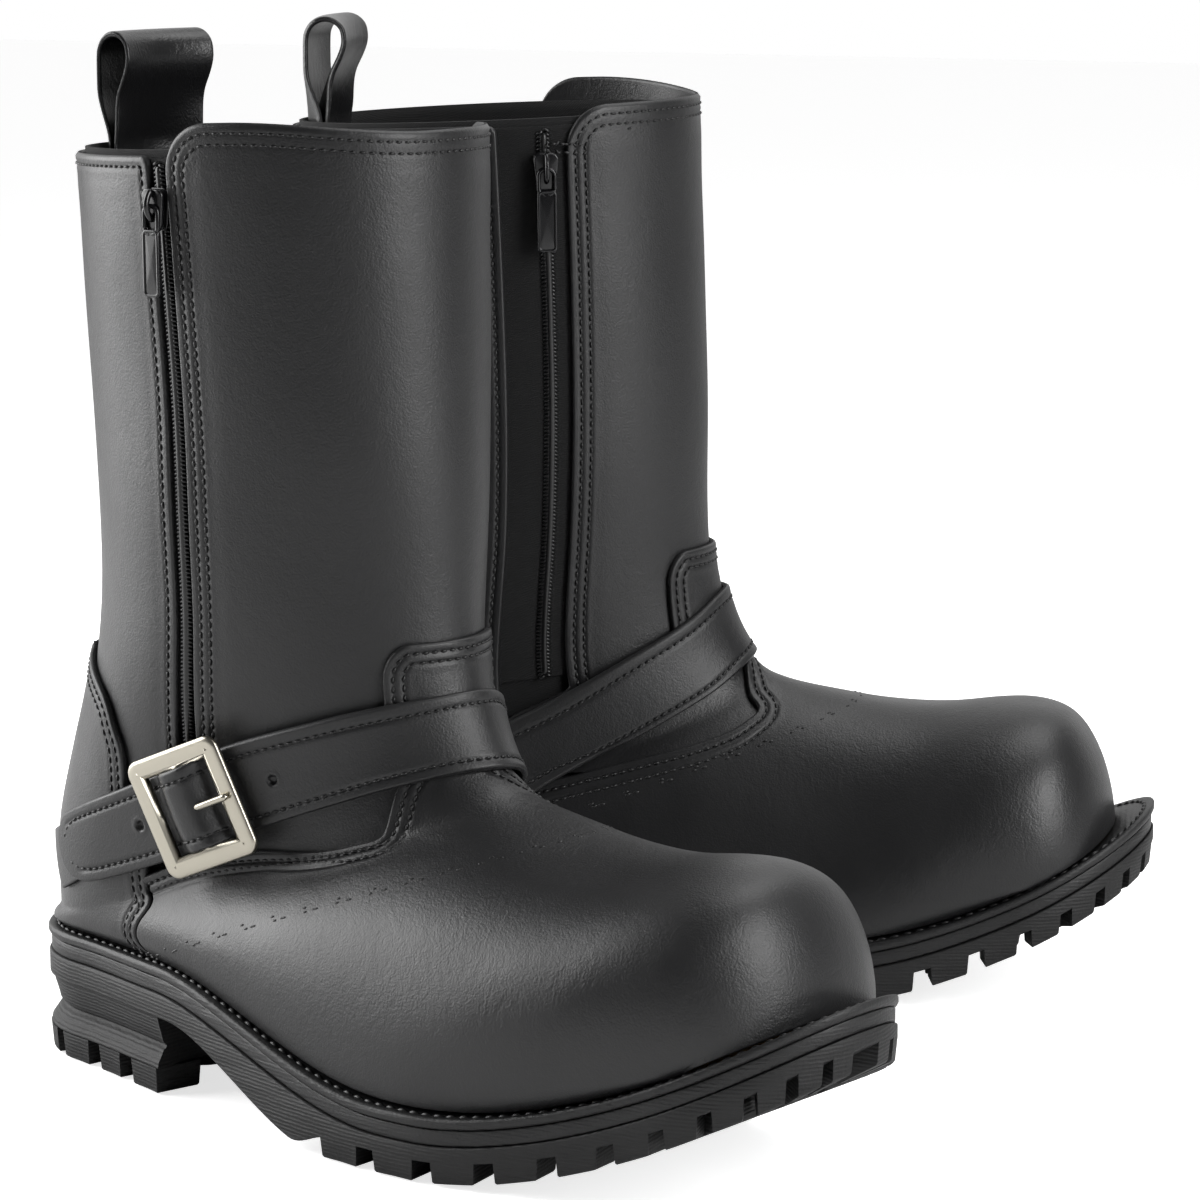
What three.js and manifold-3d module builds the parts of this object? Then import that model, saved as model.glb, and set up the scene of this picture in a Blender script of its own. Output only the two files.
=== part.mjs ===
// A pair of black leather engineer boots: lugged rubber soles, two zips and a buckled
// instep strap on each boot. Millimetres, +Z up, toes towards -Y.
//
// Each boot is worked out in its own frame first: x forward from the back of the sole,
// y towards the other boot, z up from the ground. The upper is one surface skin(s, t).
// s runs from the rim (0) down the shaft and forward to the toe (18); t runs round it from
// the front centre line (0) to the back seam or the sole edge (1), negative on the outer side.

import * as THREE from 'three';
import { mergeVertices } from 'three/addons/utils/BufferGeometryUtils.js';
import Module from 'manifold-3d';

const wasm = await Module();
wasm.setup();

// ---------------------------------------------------------------- driving sizes

const soleLength = 322;
const shaftHeight = 305;
const ankleHeight = 137;
const footWidth = 1;              // grades every width of the last
const shaftHalfDepth = 71;
const shaftHalfWidth = 57;
const heelGap = 102.8;            // between the backs of the two soles
const turnOut = 15.9;             // degrees, each boot
const clearance = 0.3;
const strapClearance = 0.5;
const featherLift = 1.2;          // of the upper's lower edge above the welt
const coverClearance = 0.5;
const soleClearance = 0.45;       // between curved sole layers

const leather = 1.8;
const liningThickness = 1.6;
const tapeThickness = 0.8;
const strapThickness = 2.2;
const chapeThickness = 1.3;

const toeSpring = 43;
const springStart = 201;
const forefootStack = 20.2;
const heelStack = 41.8;
const heelBlockHeight = 25;
const heelBreast = 82;
const weltThickness = 3.4;
const weltWidth = 21;
const midsoleThickness = 4.6;
const featherInset = 6;
const lugDepth = 6.5;
const lugNotch = 4.5;
const insoleThickness = 2.4;
const footbedThickness = 3.6;

const buckleLength = 37;
const buckleWidth = 39;
const buckleBar = 6;
const buckleThickness = 2.4;
const buckleHeight = 7.6;         // underside of the frame above the skin at the centre bar
const prongRadius = 1.1;
const sliderWidth = 8.6;
const sliderLength = 13;
const sliderHeight = 3.4;
const pullWidth = 6.4;
const pullLength = 27;
const pullThickness = 1.2;
const loopWidth = 38;
const loopRise = 36;
const loopBulge = 6.8;
const loopThickness = 1.8;

// Layers of the upper, as distances out from the skin.
const panelLayer = [-leather, 0];
const tapeLayer = [panelLayer[0] - clearance - tapeThickness, panelLayer[0] - clearance];
const liningLayer = [tapeLayer[0] - clearance - liningThickness, tapeLayer[0] - clearance];
const stiffLayer = [liningLayer[1] + clearance, 0];
const heelStiffLayer = [stiffLayer[0], panelLayer[0] - clearance];
const coverLayer = [coverClearance, coverClearance + leather];
const coilHeight = -0.6;

// ---------------------------------------------------------------- curves

const smooth = (a, b, x) => {
  const f = Math.min(Math.max((x - a) / (b - a), 0), 1);
  return f * f * (3 - 2 * f);
};

// A smooth line through points (xs, ys), with the slope at each taken from its neighbours.
function curve(xs, ys) {
  const last = xs.length - 1;
  const slope = xs.slice(1).map((x, i) => (ys[i + 1] - ys[i]) / (x - xs[i]));
  const tangent = xs.map((x, i) => {
    if (i === 0) return slope[0];
    if (i === last) return slope[last - 1];
    const before = x - xs[i - 1];
    const after = xs[i + 1] - x;
    return (slope[i - 1] * after + slope[i] * before) / (before + after);
  });
  return (value) => {
    const x = Math.min(Math.max(value, xs[0]), xs[last]);
    let i = 0;
    while (i < last - 1 && x > xs[i + 1]) i += 1;
    const step = xs[i + 1] - xs[i];
    const f = (x - xs[i]) / step;
    const g = 1 - f;
    return (1 + 2 * f) * g * g * ys[i] + f * g * g * step * tangent[i]
      + f * f * (3 - 2 * f) * ys[i + 1] - f * f * g * step * tangent[i + 1];
  };
}

// ---------------------------------------------------------------- sole outline

const grade = soleLength / 322;
const outerX = [0, 40, 75, 120, 200, 276, 322].map((x) => x * grade);
const innerX = [0, 40, 130, 222, 282, 322].map((x) => x * grade);
const outerHalf = curve(outerX, [40, 43, 50, 59, 64.5, 46, 38].map((w) => w * footWidth));
const innerHalf = curve(innerX, [40, 42, 41, 56, 47, 42].map((w) => w * footWidth));
const heelRound = 36 * grade;
const toeRound = 46 * grade;

// How far the round heel and the round toe have closed in at x, from 0 to 1.
function roundEnd(x) {
  if (x < heelRound) return (1 - (1 - x / heelRound) ** 2.3) ** (1 / 2.3);
  const past = (x - (soleLength - toeRound)) / toeRound;
  return past > 0 ? Math.max(1 - past ** 2.15, 0) ** (1 / 2.15) : 1;
}

// Sole edge on one side (+1 inner, -1 outer) from heel (u = 0) to toe (u = 1), set in by inset.
function soleEdge(side, u, inset = 0) {
  const at = (value) => {
    const c = Math.min(Math.max(value, 0), 1);
    const x = soleLength / 2 * (1 - Math.cos(Math.PI * c));
    return [x, side * (side > 0 ? innerHalf : outerHalf)(x) * roundEnd(x)];
  };
  const a = at(u - 1e-4);
  const b = at(u + 1e-4);
  const size = Math.hypot(b[0] - a[0], b[1] - a[1]);
  const p = at(u);
  return [
    p[0] + side * inset * (b[1] - a[1]) / size,
    p[1] - side * inset * (b[0] - a[0]) / size,
  ];
}

const spring = (x) => toeSpring * Math.max((x - springStart * grade) / (soleLength - springStart * grade), 0) ** 1.83;
const weltTop = (x) => {
  const f = smooth(80 * grade, 190 * grade, x);
  return heelStack * (1 - f) + forefootStack * f + spring(x);
};
const weltBottom = (x) => weltTop(x) - weltThickness;
const midsoleTop = (x) => weltBottom(x) - soleClearance;
const midsoleBottom = (x) => midsoleTop(x) - midsoleThickness;
const outsoleTop = (x) => midsoleBottom(x) - soleClearance;
const outsoleBottom = (x) => {
  const waist = heelBlockHeight + clearance;
  const f = smooth(heelBreast + 4, springStart * grade - 34, x);
  return waist * (1 - f) + spring(x);
};

// ---------------------------------------------------------------- the skin of the upper

const up = (share) => ankleHeight + (shaftHeight - ankleHeight) * share;
const back = 92 - shaftHalfDepth;
const front = 92 + shaftHalfDepth;

// Each station: front x, z; back x, z; sole edge share; half width outer, inner; where it is
// widest, from front 0 to back 1; roundness of its front half.
const stations = [
  [front, up(1), back, up(0.965), 0, shaftHalfWidth, shaftHalfWidth, 0.50, 2.00],
  [front + 1.5, up(0.70), back + 3, up(0.67), 0, shaftHalfWidth - 1.9, shaftHalfWidth - 1.9, 0.51, 2.00],
  [front + 2.5, up(0.405), back + 6, up(0.375), 0, shaftHalfWidth - 3.8, shaftHalfWidth - 3.8, 0.53, 1.95],
  [front + 3, up(0.155), back + 7, up(0.125), 0, shaftHalfWidth - 5.5, shaftHalfWidth - 5.5, 0.57, 1.85],
  [168, up(0), 23, up(0) - 9, 0, 50, 50, 0.61, 1.80],
  [174, 119, 13.5, 100, 0, 47, 46.5, 0.65, 1.80],
  [184, 105.5, 5.5, 73, 0, 45.5, 44.5, 0.70, 1.85],
  [193, 101, featherInset, heelStack + featherLift, 0, 44, 43, 0.74, 1.90],
  [203, 98.3, 0, 0, 0.169, 45, 43, 0.74, 1.95],
  [214, 96, 0, 0, 0.272, 49.5, 43, 0.75, 2.00],
  [227, 93.6, 0, 0, 0.367, 54.5, 43, 0.77, 2.00],
  [241, 92.4, 0, 0, 0.460, 58.5, 44, 0.78, 2.05],
  [255, 92.6, 0, 0, 0.550, 60, 47, 0.80, 2.10],
  [269, 94.4, 0, 0, 0.633, 56.5, 50.5, 0.82, 2.20],
  [282, 94.6, 0, 0, 0.680, 52, 50, 0.85, 2.30],
  [293, 90.8, 0, 0, 0.720, 47.5, 48, 0.88, 2.30],
  [300.5, 80.2, 0, 0, 0.747, 43.5, 46, 0.91, 2.20],
  [304.8, 67, 0, 0, 0.768, 40, 43.5, 0.95, 2.10],
  [306.4, 55.9, 0, 0, 0.785, 37, 41, 0.99, 2.00],
];
const heelStation = 7;
const toeStation = stations.length - 1;
const numbers = stations.map((row, i) => i);
const column = (k, first = 0, last = toeStation, scale = 1) =>
  curve(numbers.slice(first, last + 1), stations.slice(first, last + 1).map((row) => row[k] * scale));
const frontX = column(0, 0, toeStation, grade);
const frontZ = column(1);
const backX = column(2, 0, heelStation, grade);
const backZ = column(3, 0, heelStation);
const edgeShare = column(4, heelStation, toeStation);
const outerWidth = column(5, 0, toeStation, footWidth);
const innerWidth = column(6, 0, toeStation, footWidth);
const widestAt = column(7);
const roundness = column(8);

// One side of the section at s, as a fine line from the front to the back or the sole edge:
// a quarter of a superellipse out to the widest point, then part of an ellipse in again.
const sections = new Map();
function section(s, side) {
  const key = `${s.toFixed(5)} ${side}`;
  if (sections.has(key)) return sections.get(key);
  const head = [frontX(s), frontZ(s)];
  let foot = [backX(s), 0, backZ(s)];
  if (s > heelStation) {
    const [x, y] = soleEdge(side, edgeShare(s), featherInset);
    foot = [x, Math.abs(y), weltTop(x) + featherLift];
  }
  const width = Math.max((side > 0 ? innerWidth : outerWidth)(s), foot[1] + 0.3);
  const widest = widestAt(s);
  const power = 2 / roundness(s);
  const curl = Math.PI / 2 * (1 - 0.5 * smooth(heelStation, 9.5, s));
  const steps = 40;
  const line = [];
  for (let k = 0; k <= 2 * steps; k += 1) {
    let along;
    let out;
    if (k <= steps) {
      const f = Math.PI / 2 * k / steps;
      along = widest * (1 - Math.max(Math.cos(f), 0) ** power);
      out = width * Math.sin(f) ** power;
    } else {
      const f = curl * (k - steps) / steps;
      const share = (Math.cos(f) - Math.cos(curl)) / (1 - Math.cos(curl));
      along = widest + (1 - widest) * Math.sin(f) / Math.sin(curl);
      out = foot[1] + (width - foot[1]) * share;
    }
    line.push([
      head[0] + along * (foot[0] - head[0]),
      side * out,
      head[1] + along * (foot[2] - head[1]),
    ]);
  }
  const length = [0];
  for (let k = 1; k < line.length; k += 1) {
    const [a, b] = [line[k - 1], line[k]];
    length.push(length[k - 1] + Math.hypot(b[0] - a[0], b[1] - a[1], b[2] - a[2]));
  }
  const result = { line, length };
  sections.set(key, result);
  return result;
}

function skinPoint(s, t) {
  const side = t > 0 ? 1 : -1;
  const { line, length } = section(Math.min(Math.max(s, 0), toeStation), side);
  const want = Math.min(Math.abs(t), 1) * length[length.length - 1];
  let k = 1;
  while (k < length.length - 1 && length[k] < want) k += 1;
  const f = (want - length[k - 1]) / (length[k] - length[k - 1]);
  return new THREE.Vector3(...line[k - 1].map((v, i) => v + f * (line[k][i] - v)));
}

function skinNormal(s, t) {
  const side = t > 0 || (t < -0.998 && s <= heelStation) ? 1 : -1;
  const a = Math.min(Math.max(Math.abs(t), 0.01), 0.985);
  const ds = skinPoint(s + 0.05, side * a).sub(skinPoint(s - 0.05, side * a));
  const dt = skinPoint(s, side * (a + 0.01)).sub(skinPoint(s, side * (a - 0.01)));
  const n = dt.cross(ds).multiplyScalar(-side);
  if (Math.abs(t) < 0.002) n.y = 0;
  if (Math.abs(t) > 0.998 && s <= heelStation) n.y = 0;
  const nearSole = Math.max(smooth(0.8, 1, Math.abs(t)) * smooth(heelStation - 1, heelStation, s),
    smooth(toeStation - 1, toeStation, s));
  n.normalize();
  n.z *= 1 - nearSole;
  return n.normalize();
}

// A point on the skin, or at a height above it.
const onSkin = (s, t, height = 0) => skinPoint(s, t).addScaledVector(skinNormal(s, t), height);

// ---------------------------------------------------------------- closed bodies

// Joins a grid of outer points and a grid of inner points into one closed body. Points that
// coincide are one, every open edge of the sheet gets a wall, and a missing point is a gap.
// turned(j) says whether the squares after column j are split along their other diagonal.
function plate(outer, inner, turned = () => false) {
  const found = new Map();
  const top = [];
  const bottom = [];
  const id = outer.map((row, i) => row.map((p, j) => {
    if (!p) return -1;
    const key = p.toArray().map((v) => Math.round(v * 500)).join();
    if (!found.has(key)) {
      found.set(key, top.length);
      top.push(p);
      bottom.push(inner[i][j]);
    }
    return found.get(key);
  }));
  const sheet = [];
  const add = (a, b, c) => {
    if (Math.min(a, b, c) >= 0 && a !== b && b !== c && c !== a) sheet.push([a, b, c]);
  };
  for (let i = 0; i + 1 < id.length; i += 1) {
    for (let j = 0; j + 1 < id[i].length; j += 1) {
      const [a, b, c, d] = [id[i][j], id[i + 1][j], id[i + 1][j + 1], id[i][j + 1]];
      add(a, b, turned(j) ? d : c);
      add(turned(j) ? b : a, c, d);
    }
  }
  const edges = new Set(sheet.flatMap(([a, b, c]) => [`${a} ${b}`, `${b} ${c}`, `${c} ${a}`]));
  const n = top.length;
  const faces = [];
  for (const [a, b, c] of sheet) {
    faces.push([a, b, c], [n + a, n + c, n + b]);
    for (const [p, q] of [[a, b], [b, c], [c, a]]) {
      if (!edges.has(`${q} ${p}`)) faces.push([q, p, n + p], [q, n + p, n + q]);
    }
  }
  const geometry = new THREE.BufferGeometry();
  geometry.setAttribute('position', new THREE.Float32BufferAttribute(
    [...top, ...bottom].flatMap((p) => p.toArray()), 3));
  geometry.setIndex(faces.flat());
  return volume(geometry) < 0 ? flipped(geometry) : geometry;
}

function volume(geometry) {
  const p = geometry.getAttribute('position');
  const index = geometry.getIndex().array;
  const [a, b, c] = [new THREE.Vector3(), new THREE.Vector3(), new THREE.Vector3()];
  let sum = 0;
  for (let i = 0; i < index.length; i += 3) {
    a.fromBufferAttribute(p, index[i]);
    b.fromBufferAttribute(p, index[i + 1]);
    c.fromBufferAttribute(p, index[i + 2]);
    sum += a.dot(b.cross(c)) / 6;
  }
  return sum;
}

function flipped(geometry) {
  const index = [...geometry.getIndex().array];
  for (let i = 0; i < index.length; i += 3) [index[i], index[i + 1]] = [index[i + 1], index[i]];
  geometry.setIndex(index);
  return geometry;
}

function toSolid(geometry) {
  const bare = geometry.clone();
  bare.deleteAttribute('normal');
  bare.deleteAttribute('uv');
  const merged = mergeVertices(bare, 1e-4);
  return new wasm.Manifold(new wasm.Mesh({
    numProp: 3,
    vertProperties: new Float32Array(merged.getAttribute('position').array),
    triVerts: new Uint32Array(merged.getIndex().array),
  }));
}

function fromSolid(solid) {
  const mesh = solid.getMesh();
  const geometry = new THREE.BufferGeometry();
  geometry.setAttribute('position', new THREE.BufferAttribute(new Float32Array(mesh.vertProperties), 3));
  geometry.setIndex([...mesh.triVerts]);
  return geometry;
}

// A piece of the upper between two heights above the skin. The grid keeps the same rows and
// columns in every piece, so that layers stay parallel; fit(s, t) pulls each grid point in to
// the piece's own edge.
const rows = [0, 1.5, 3, 3.5, 4, 4.5, 5, 5.5, 6, 6.5, 7, 7.5, 8, 8.75, 9.5, 10, 10.5, 11, 12, 13.25, 14.5,
  15.5, 16.5, 17.25, 18];
const outerFrontEdge = 0.47;      // front panel edge on the outer side
const outerRearEdge = 0.505;
const innerFrontEdge = 0.335;
const innerRearEdge = 0.45;
const outerColumns = [0.07, 0.145, 0.24, 0.335, 0.43, outerFrontEdge, outerRearEdge, 0.545, 0.61, 0.73, 0.87, 1];
const innerColumns = [0.07, 0.145, 0.22, 0.29, innerFrontEdge, innerRearEdge, 0.49, 0.61, 0.73, 0.87, 1];
const columns = [...outerColumns.map((t) => -t).reverse(), 0, ...innerColumns];

function layer([low, high], fit, useRows = rows, useColumns = columns) {
  const places = useRows.map((s) => useColumns.map((t) => (t === null ? null : fit(s, t))));
  const at = (height) => places.map((row) => row.map((place) => place && onSkin(...place, height)));
  return plate(at(high), at(low), (j) => useColumns[j] !== null && useColumns[j] < 0);
}

const clamp = (value, low, high) => Math.min(Math.max(value, low), high);

// ---------------------------------------------------------------- pieces of one boot

const materials = {
  leather: { color: 0x3c3c3d, roughness: 0.45, metalness: 0 },
  lining: { color: 0x1c1c1d, roughness: 0.9, metalness: 0 },
  rubber: { color: 0x232324, roughness: 0.8, metalness: 0 },
  board: { color: 0x8b6f4e, roughness: 0.9, metalness: 0 },
  steel: { color: 0xb9bcc0, roughness: 0.35, metalness: 1 },
  nickel: { color: 0xcfcabd, roughness: 0.3, metalness: 1 },
  zip: { color: 0x141415, roughness: 0.5, metalness: 0 },
};

// Side edges of the counter cover, and the top edge of the vamp on each side.
const coverEdge = curve([3.7, 4.05, 4.65, 5.5, 7, 8, 8.75, 9.5],
  [0.84, 0.71, 0.633, 0.61, 0.61, 0.73, 0.87, 1]);
const coverTop = 3.7;
const coverEnd = 9.5;
const vampTopOuter = curve([0, 0.11, 0.14, 0.155, 0.2, 0.26, 0.387, 0.5, 0.62],
  [3.42, 3.52, 3.9, 5.8, 6.87, 7.08, 6.68, 6.6, 6.8]);
const vampTopInner = curve([0, 0.11, 0.14, 0.155, 0.183, 0.275, 0.37, 0.49, 0.62],
  [3.42, 3.52, 3.9, 7.3, 8.2, 8.39, 8.2, 7.9, 7.6]);
const vampTop = (t) => (t > 0 ? vampTopInner : vampTopOuter)(Math.abs(t));
const seamGap = 0.004;            // share of the way round, about 0.7 mm

function vamp() {
  const fit = (s, t) => {
    const down = Math.max(s, vampTop(t));
    const limit = down < coverEnd ? coverEdge(down) - seamGap : 1;
    return [down, Math.sign(t) * Math.min(Math.abs(t), limit)];
  };
  const fitted = (s, t) => {
    const [, first] = fit(s, t);
    return [Math.max(s, vampTop(first)), first];
  };
  return layer(coverLayer, fitted, rows.filter((s) => s >= 3));
}

function counterCover() {
  const fit = (s, t) => {
    const down = clamp(s, coverTop, coverEnd);
    return [down, Math.sign(t) * Math.max(Math.abs(t), coverEdge(down))];
  };
  return layer(coverLayer, fit, rows.filter((s) => s >= 3.5 && s <= coverEnd), backColumns(0.545));
}

// Columns from t = from round the back of the boot, with a gap at the back seam: above the
// heel its two sides meet, and below it they are the two sides of the sole edge.
function backColumns(from) {
  const inner = innerColumns.filter((t) => t >= from);
  const outer = outerColumns.filter((t) => t >= from);
  return [...inner, null, ...outer.map((t) => -t).reverse()];
}

function frontPanel() {
  const corner = 0.12;            // rounded top corners, as a share of s
  const tuck = (t) => (t > 0 ? 8.6 : 7.3);  // it runs on below the vamp's top edge
  const fit = (s, t) => {
    const edge = t > 0 ? innerFrontEdge : outerFrontEdge;
    // Below the inner zip the panel closes up to the rear panel's edge.
    const reach = innerFrontEdge + (innerRearEdge - 0.004 - innerFrontEdge) * smooth(5.4, 5.9, s);
    const across = t >= innerFrontEdge ? reach : clamp(t, -outerFrontEdge, innerFrontEdge);
    const top = corner * smooth(edge - 0.05, edge, Math.abs(across));
    return [clamp(s, top, tuck(across)), across];
  };
  return layer(panelLayer, fit, rows.filter((s) => s <= 9),
    columns.filter((t) => t >= -outerFrontEdge && t <= innerFrontEdge));
}

function rearPanel() {
  const bottom = 5.9;
  const top = 0.1;
  const edge = (t) => (t > 0 ? innerRearEdge : outerRearEdge);
  const fit = (s, t) => [clamp(s, top, bottom), Math.sign(t) * Math.max(Math.abs(t), edge(t))];
  return layer(panelLayer, fit, rows.filter((s) => s <= 6), backColumns(0.45));
}

function lining() {
  const wide = [0.145, 0.335, 0.545, 0.73, 0.87, 1];
  const narrow = [0.145, innerFrontEdge, 0.49, 0.73, 0.87, 1];
  const around = [...wide.map((t) => -t).reverse(), 0, ...narrow];
  return layer(liningLayer, (s, t) => [Math.max(s, 0.08), t], rows, around);
}

function toePuff() {
  return layer(stiffLayer, (s, t) => [s, t], rows.filter((s) => s >= 14));
}

function heelStiffener() {
  return layer(heelStiffLayer, (s, t) => [s, t], rows.filter((s) => s >= 4.5 && s <= 9.5),
    backColumns(0.73));
}

function backstay() {
  const half = 0.05;
  const fit = (s, t) => [clamp(s, 0.2, coverTop - 0.06), Math.sign(t) * Math.max(Math.abs(t), 1 - half)];
  return layer(coverLayer, fit, rows.filter((s) => s <= 4), backColumns(1 - half * 2.6));
}

// A zip: woven tape behind the panels' edges, with a raised coil along the middle. Its slider
// runs down to the station `stop`, `lift` mm out from the skin at the top and at the bottom.
const zips = {
  outer: {
    side: -1, edges: [0.43, 0.545], gap: [outerFrontEdge, outerRearEdge], coil: 0.4875,
    end: 4.9, stop: 3.45, lift: [0.75, 0.75],
  },
  inner: {
    side: 1, edges: [0.29, 0.49], gap: [innerFrontEdge, innerRearEdge], coil: 0.372,
    end: 5.2, stop: 3.7, lift: [0.43, 1],
  },
};
const coilHalf = 0.009;

function zip({ side, edges, gap, coil, end }) {
  const around = [edges[0], gap[0], coil - coilHalf - 0.002, coil - coilHalf, coil + coilHalf,
    coil + coilHalf + 0.002, gap[1], edges[1]];
  const along = rows.filter((s) => s < end).concat(end).map((s) => Math.max(s, 0.12));
  const raised = (t) => (Math.abs(t - coil) < coilHalf + 0.001 ? coilHeight : tapeLayer[1]);
  const outer = along.map((s) => around.map((t) => onSkin(s, side * t, raised(t))));
  const inner = along.map((s) => around.map((t) => onSkin(s, side * t, tapeLayer[0])));
  return plate(outer, inner);
}

// The line that a slider runs along, its outward direction and the direction across.
const sliderTop = 0.42;
function zipLine({ side, coil, stop, lift }) {
  const start = onSkin(sliderTop, side * coil, lift[0]);
  const down = onSkin(stop, side * coil, lift[1]).sub(start);
  const travel = down.length();
  down.normalize();
  const out = skinNormal(1.5, side * coil);
  out.addScaledVector(down, -out.dot(down)).normalize();
  return { start, down, out, across: down.clone().cross(out).normalize(), travel };
}

// Places a geometry so that its x runs along `along`, its z along `out`, from a given origin.
function oriented(geometry, origin, along, out) {
  const across = out.clone().cross(along);
  geometry.applyMatrix4(new THREE.Matrix4().makeBasis(along, across, out).setPosition(origin));
  return geometry;
}

function extruded(shape, depth, curveSegments = 3) {
  return new THREE.ExtrudeGeometry(shape, { depth, bevelEnabled: false, curveSegments });
}

function roundedRectangle(length, width, radius, Kind = THREE.Shape) {
  const [x, y] = [length / 2, width / 2];
  const shape = new Kind();
  shape.moveTo(-x + radius, -y);
  shape.lineTo(x - radius, -y);
  shape.absarc(x - radius, -y + radius, radius, -Math.PI / 2, 0);
  shape.lineTo(x, y - radius);
  shape.absarc(x - radius, y - radius, radius, 0, Math.PI / 2);
  shape.lineTo(-x + radius, y);
  shape.absarc(-x + radius, y - radius, radius, Math.PI / 2, Math.PI);
  shape.lineTo(-x, -y + radius);
  shape.absarc(-x + radius, -y + radius, radius, Math.PI, Math.PI * 1.5);
  return shape;
}

// Slider: a tapered body with a low bridge, under which the pull is hooked.
const bridgeHeight = 2.6;
const bridgeAt = -1.5;
function slider(which) {
  const { start, down, out } = zipLine(zips[which]);
  const shape = new THREE.Shape();
  const [x, y] = [sliderLength / 2, sliderWidth / 2];
  shape.moveTo(-x, -y);
  shape.lineTo(0, -y);
  shape.lineTo(x, -y * 0.55);
  shape.lineTo(x, y * 0.55);
  shape.lineTo(0, y);
  shape.lineTo(-x, y);
  shape.closePath();
  const body = toSolid(extruded(shape, sliderHeight * 0.5));
  const arch = new THREE.Shape();
  arch.moveTo(-4.6, 0);
  arch.lineTo(4.6, 0);
  arch.lineTo(3.4, bridgeHeight + 1);
  arch.lineTo(-3.4, bridgeHeight + 1);
  arch.closePath();
  const eye = new THREE.Path();
  eye.moveTo(-2.6, 0.4);
  eye.lineTo(2.6, 0.4);
  eye.lineTo(2.2, bridgeHeight);
  eye.lineTo(-2.2, bridgeHeight);
  eye.closePath();
  arch.holes.push(eye);
  const bridge = extruded(arch, 2.2);
  bridge.rotateX(Math.PI / 2);
  bridge.translate(bridgeAt, 1.1, sliderHeight * 0.5 - 0.35);
  return oriented(fromSolid(body.add(toSolid(bridge))), start, down, out);
}

// Pull: a flat tab with a slot at its top end, hung plumb from the slider's bridge.
const pinAlong = -0.3;
const pinHeight = sliderHeight * 0.5 + 1.1;
function pull(which) {
  const { start, down, out, across } = zipLine(zips[which]);
  const pin = start.clone().addScaledVector(down, pinAlong).addScaledVector(out, pinHeight);
  const plumb = new THREE.Vector3(0, 0, -1);
  plumb.addScaledVector(across, -plumb.dot(across)).normalize();
  const shape = roundedRectangle(pullLength, pullWidth, 1.6);
  const slot = roundedRectangle(3.8, 3.6, 0.6);
  const tab = extruded(shape, pullThickness);
  const cut = extruded(slot, pullThickness * 4);
  cut.translate(-pullLength / 2 + 3.7, 0, -pullThickness);
  const solid = toSolid(tab).subtract(toSolid(cut));
  const geometry = fromSolid(solid);
  geometry.translate(pullLength / 2 - 0.9, 0, -pullThickness / 2);
  return oriented(geometry, pin, plumb, across.clone().cross(plumb));
}

// ---------------------------------------------------------------- strap and buckle

// The strap lies between two edges given as s against t. A point on it is (t, q, height), with q
// from 0 at the top edge to 1 at the lower edge.
const strapTop = curve([-0.86, -0.742, -0.709, -0.631, -0.545, -0.387, -0.28, -0.197, -0.085, 0.04,
  0.115, 0.236, 0.346, 0.428, 0.52, 0.6],
[6.05, 5.8, 5.7, 5.45, 5.18, 4.68, 4.44, 4.28, 4.16, 4.2, 4.5, 4.98, 5.44, 5.75, 6.05, 6.4]);
const strapLow = curve([-0.86, -0.742, -0.718, -0.65, -0.571, -0.374, -0.257, -0.146, -0.041, 0.04,
  0.14, 0.257, 0.396, 0.519, 0.6],
[7.0, 6.8, 6.75, 6.7, 6.62, 6.21, 5.93, 5.7, 5.62, 5.8, 6.38, 6.97, 7.63, 8.09, 8.4]);
const strapSkew = 0.037;          // turns the cross lines square to the strap
function strapPoint(t, q, height) {
  const turned = t + strapSkew * (q - 0.5);
  return onSkin(strapTop(turned) + (strapLow(turned) - strapTop(turned)) * q, turned, height);
}
const strapTip = -0.748;
const strapEnd = 0.6;
const buckleT = -0.456;           // centre bar
const roundLength = 225;          // mm of skin to one unit of t at the strap

// A strip that follows path points [t, height] of its mid line, thick across that line.
function strip(path, thickness, range) {
  const flat = path.map(([t, h]) => new THREE.Vector2(t * roundLength, h));
  const sides = flat.map((p, i) => {
    const a = flat[Math.max(i - 1, 0)];
    const b = flat[Math.min(i + 1, flat.length - 1)];
    const along = b.clone().sub(a).normalize();
    return new THREE.Vector2(-along.y, along.x).multiplyScalar(thickness / 2);
  });
  const face = (sign) => flat.map((p, i) => {
    const x = p.x + sign * sides[i].x;
    const [q0, q1] = range(p.x / roundLength);
    return [0, 0.5, 1].map((f) =>
      strapPoint(x / roundLength, q0 + (q1 - q0) * f, p.y + sign * sides[i].y));
  });
  return plate(face(1), face(-1));
}

const coverTopHeight = coverLayer[1];
const strapLow0 = coverTopHeight + strapClearance;
const overChape = strapLow0 + chapeThickness + strapClearance;
const barRadius = buckleThickness / 2;
const barTop = buckleHeight + buckleThickness;
const strapOverBar = barTop + clearance + chapeThickness + clearance + 0.2;

// The strap rises over the centre bar and lies under both end bars.
const strapSteps = 54;
function strapPath() {
  const path = [];
  const rise = 0.052;
  for (let i = 0; i <= strapSteps; i += 1) {
    const t = strapTip + (strapEnd - strapTip) * i / strapSteps;
    const base = t < buckleT - rise ? overChape : strapLow0;
    const side = t < buckleT ? overChape : strapLow0;
    const bump = 1 - smooth(0.015, rise, Math.abs(t - buckleT));
    path.push([t, strapThickness / 2 + (bump > 0 ? side + (strapOverBar - side) * bump : base)]);
  }
  return path;
}

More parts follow.
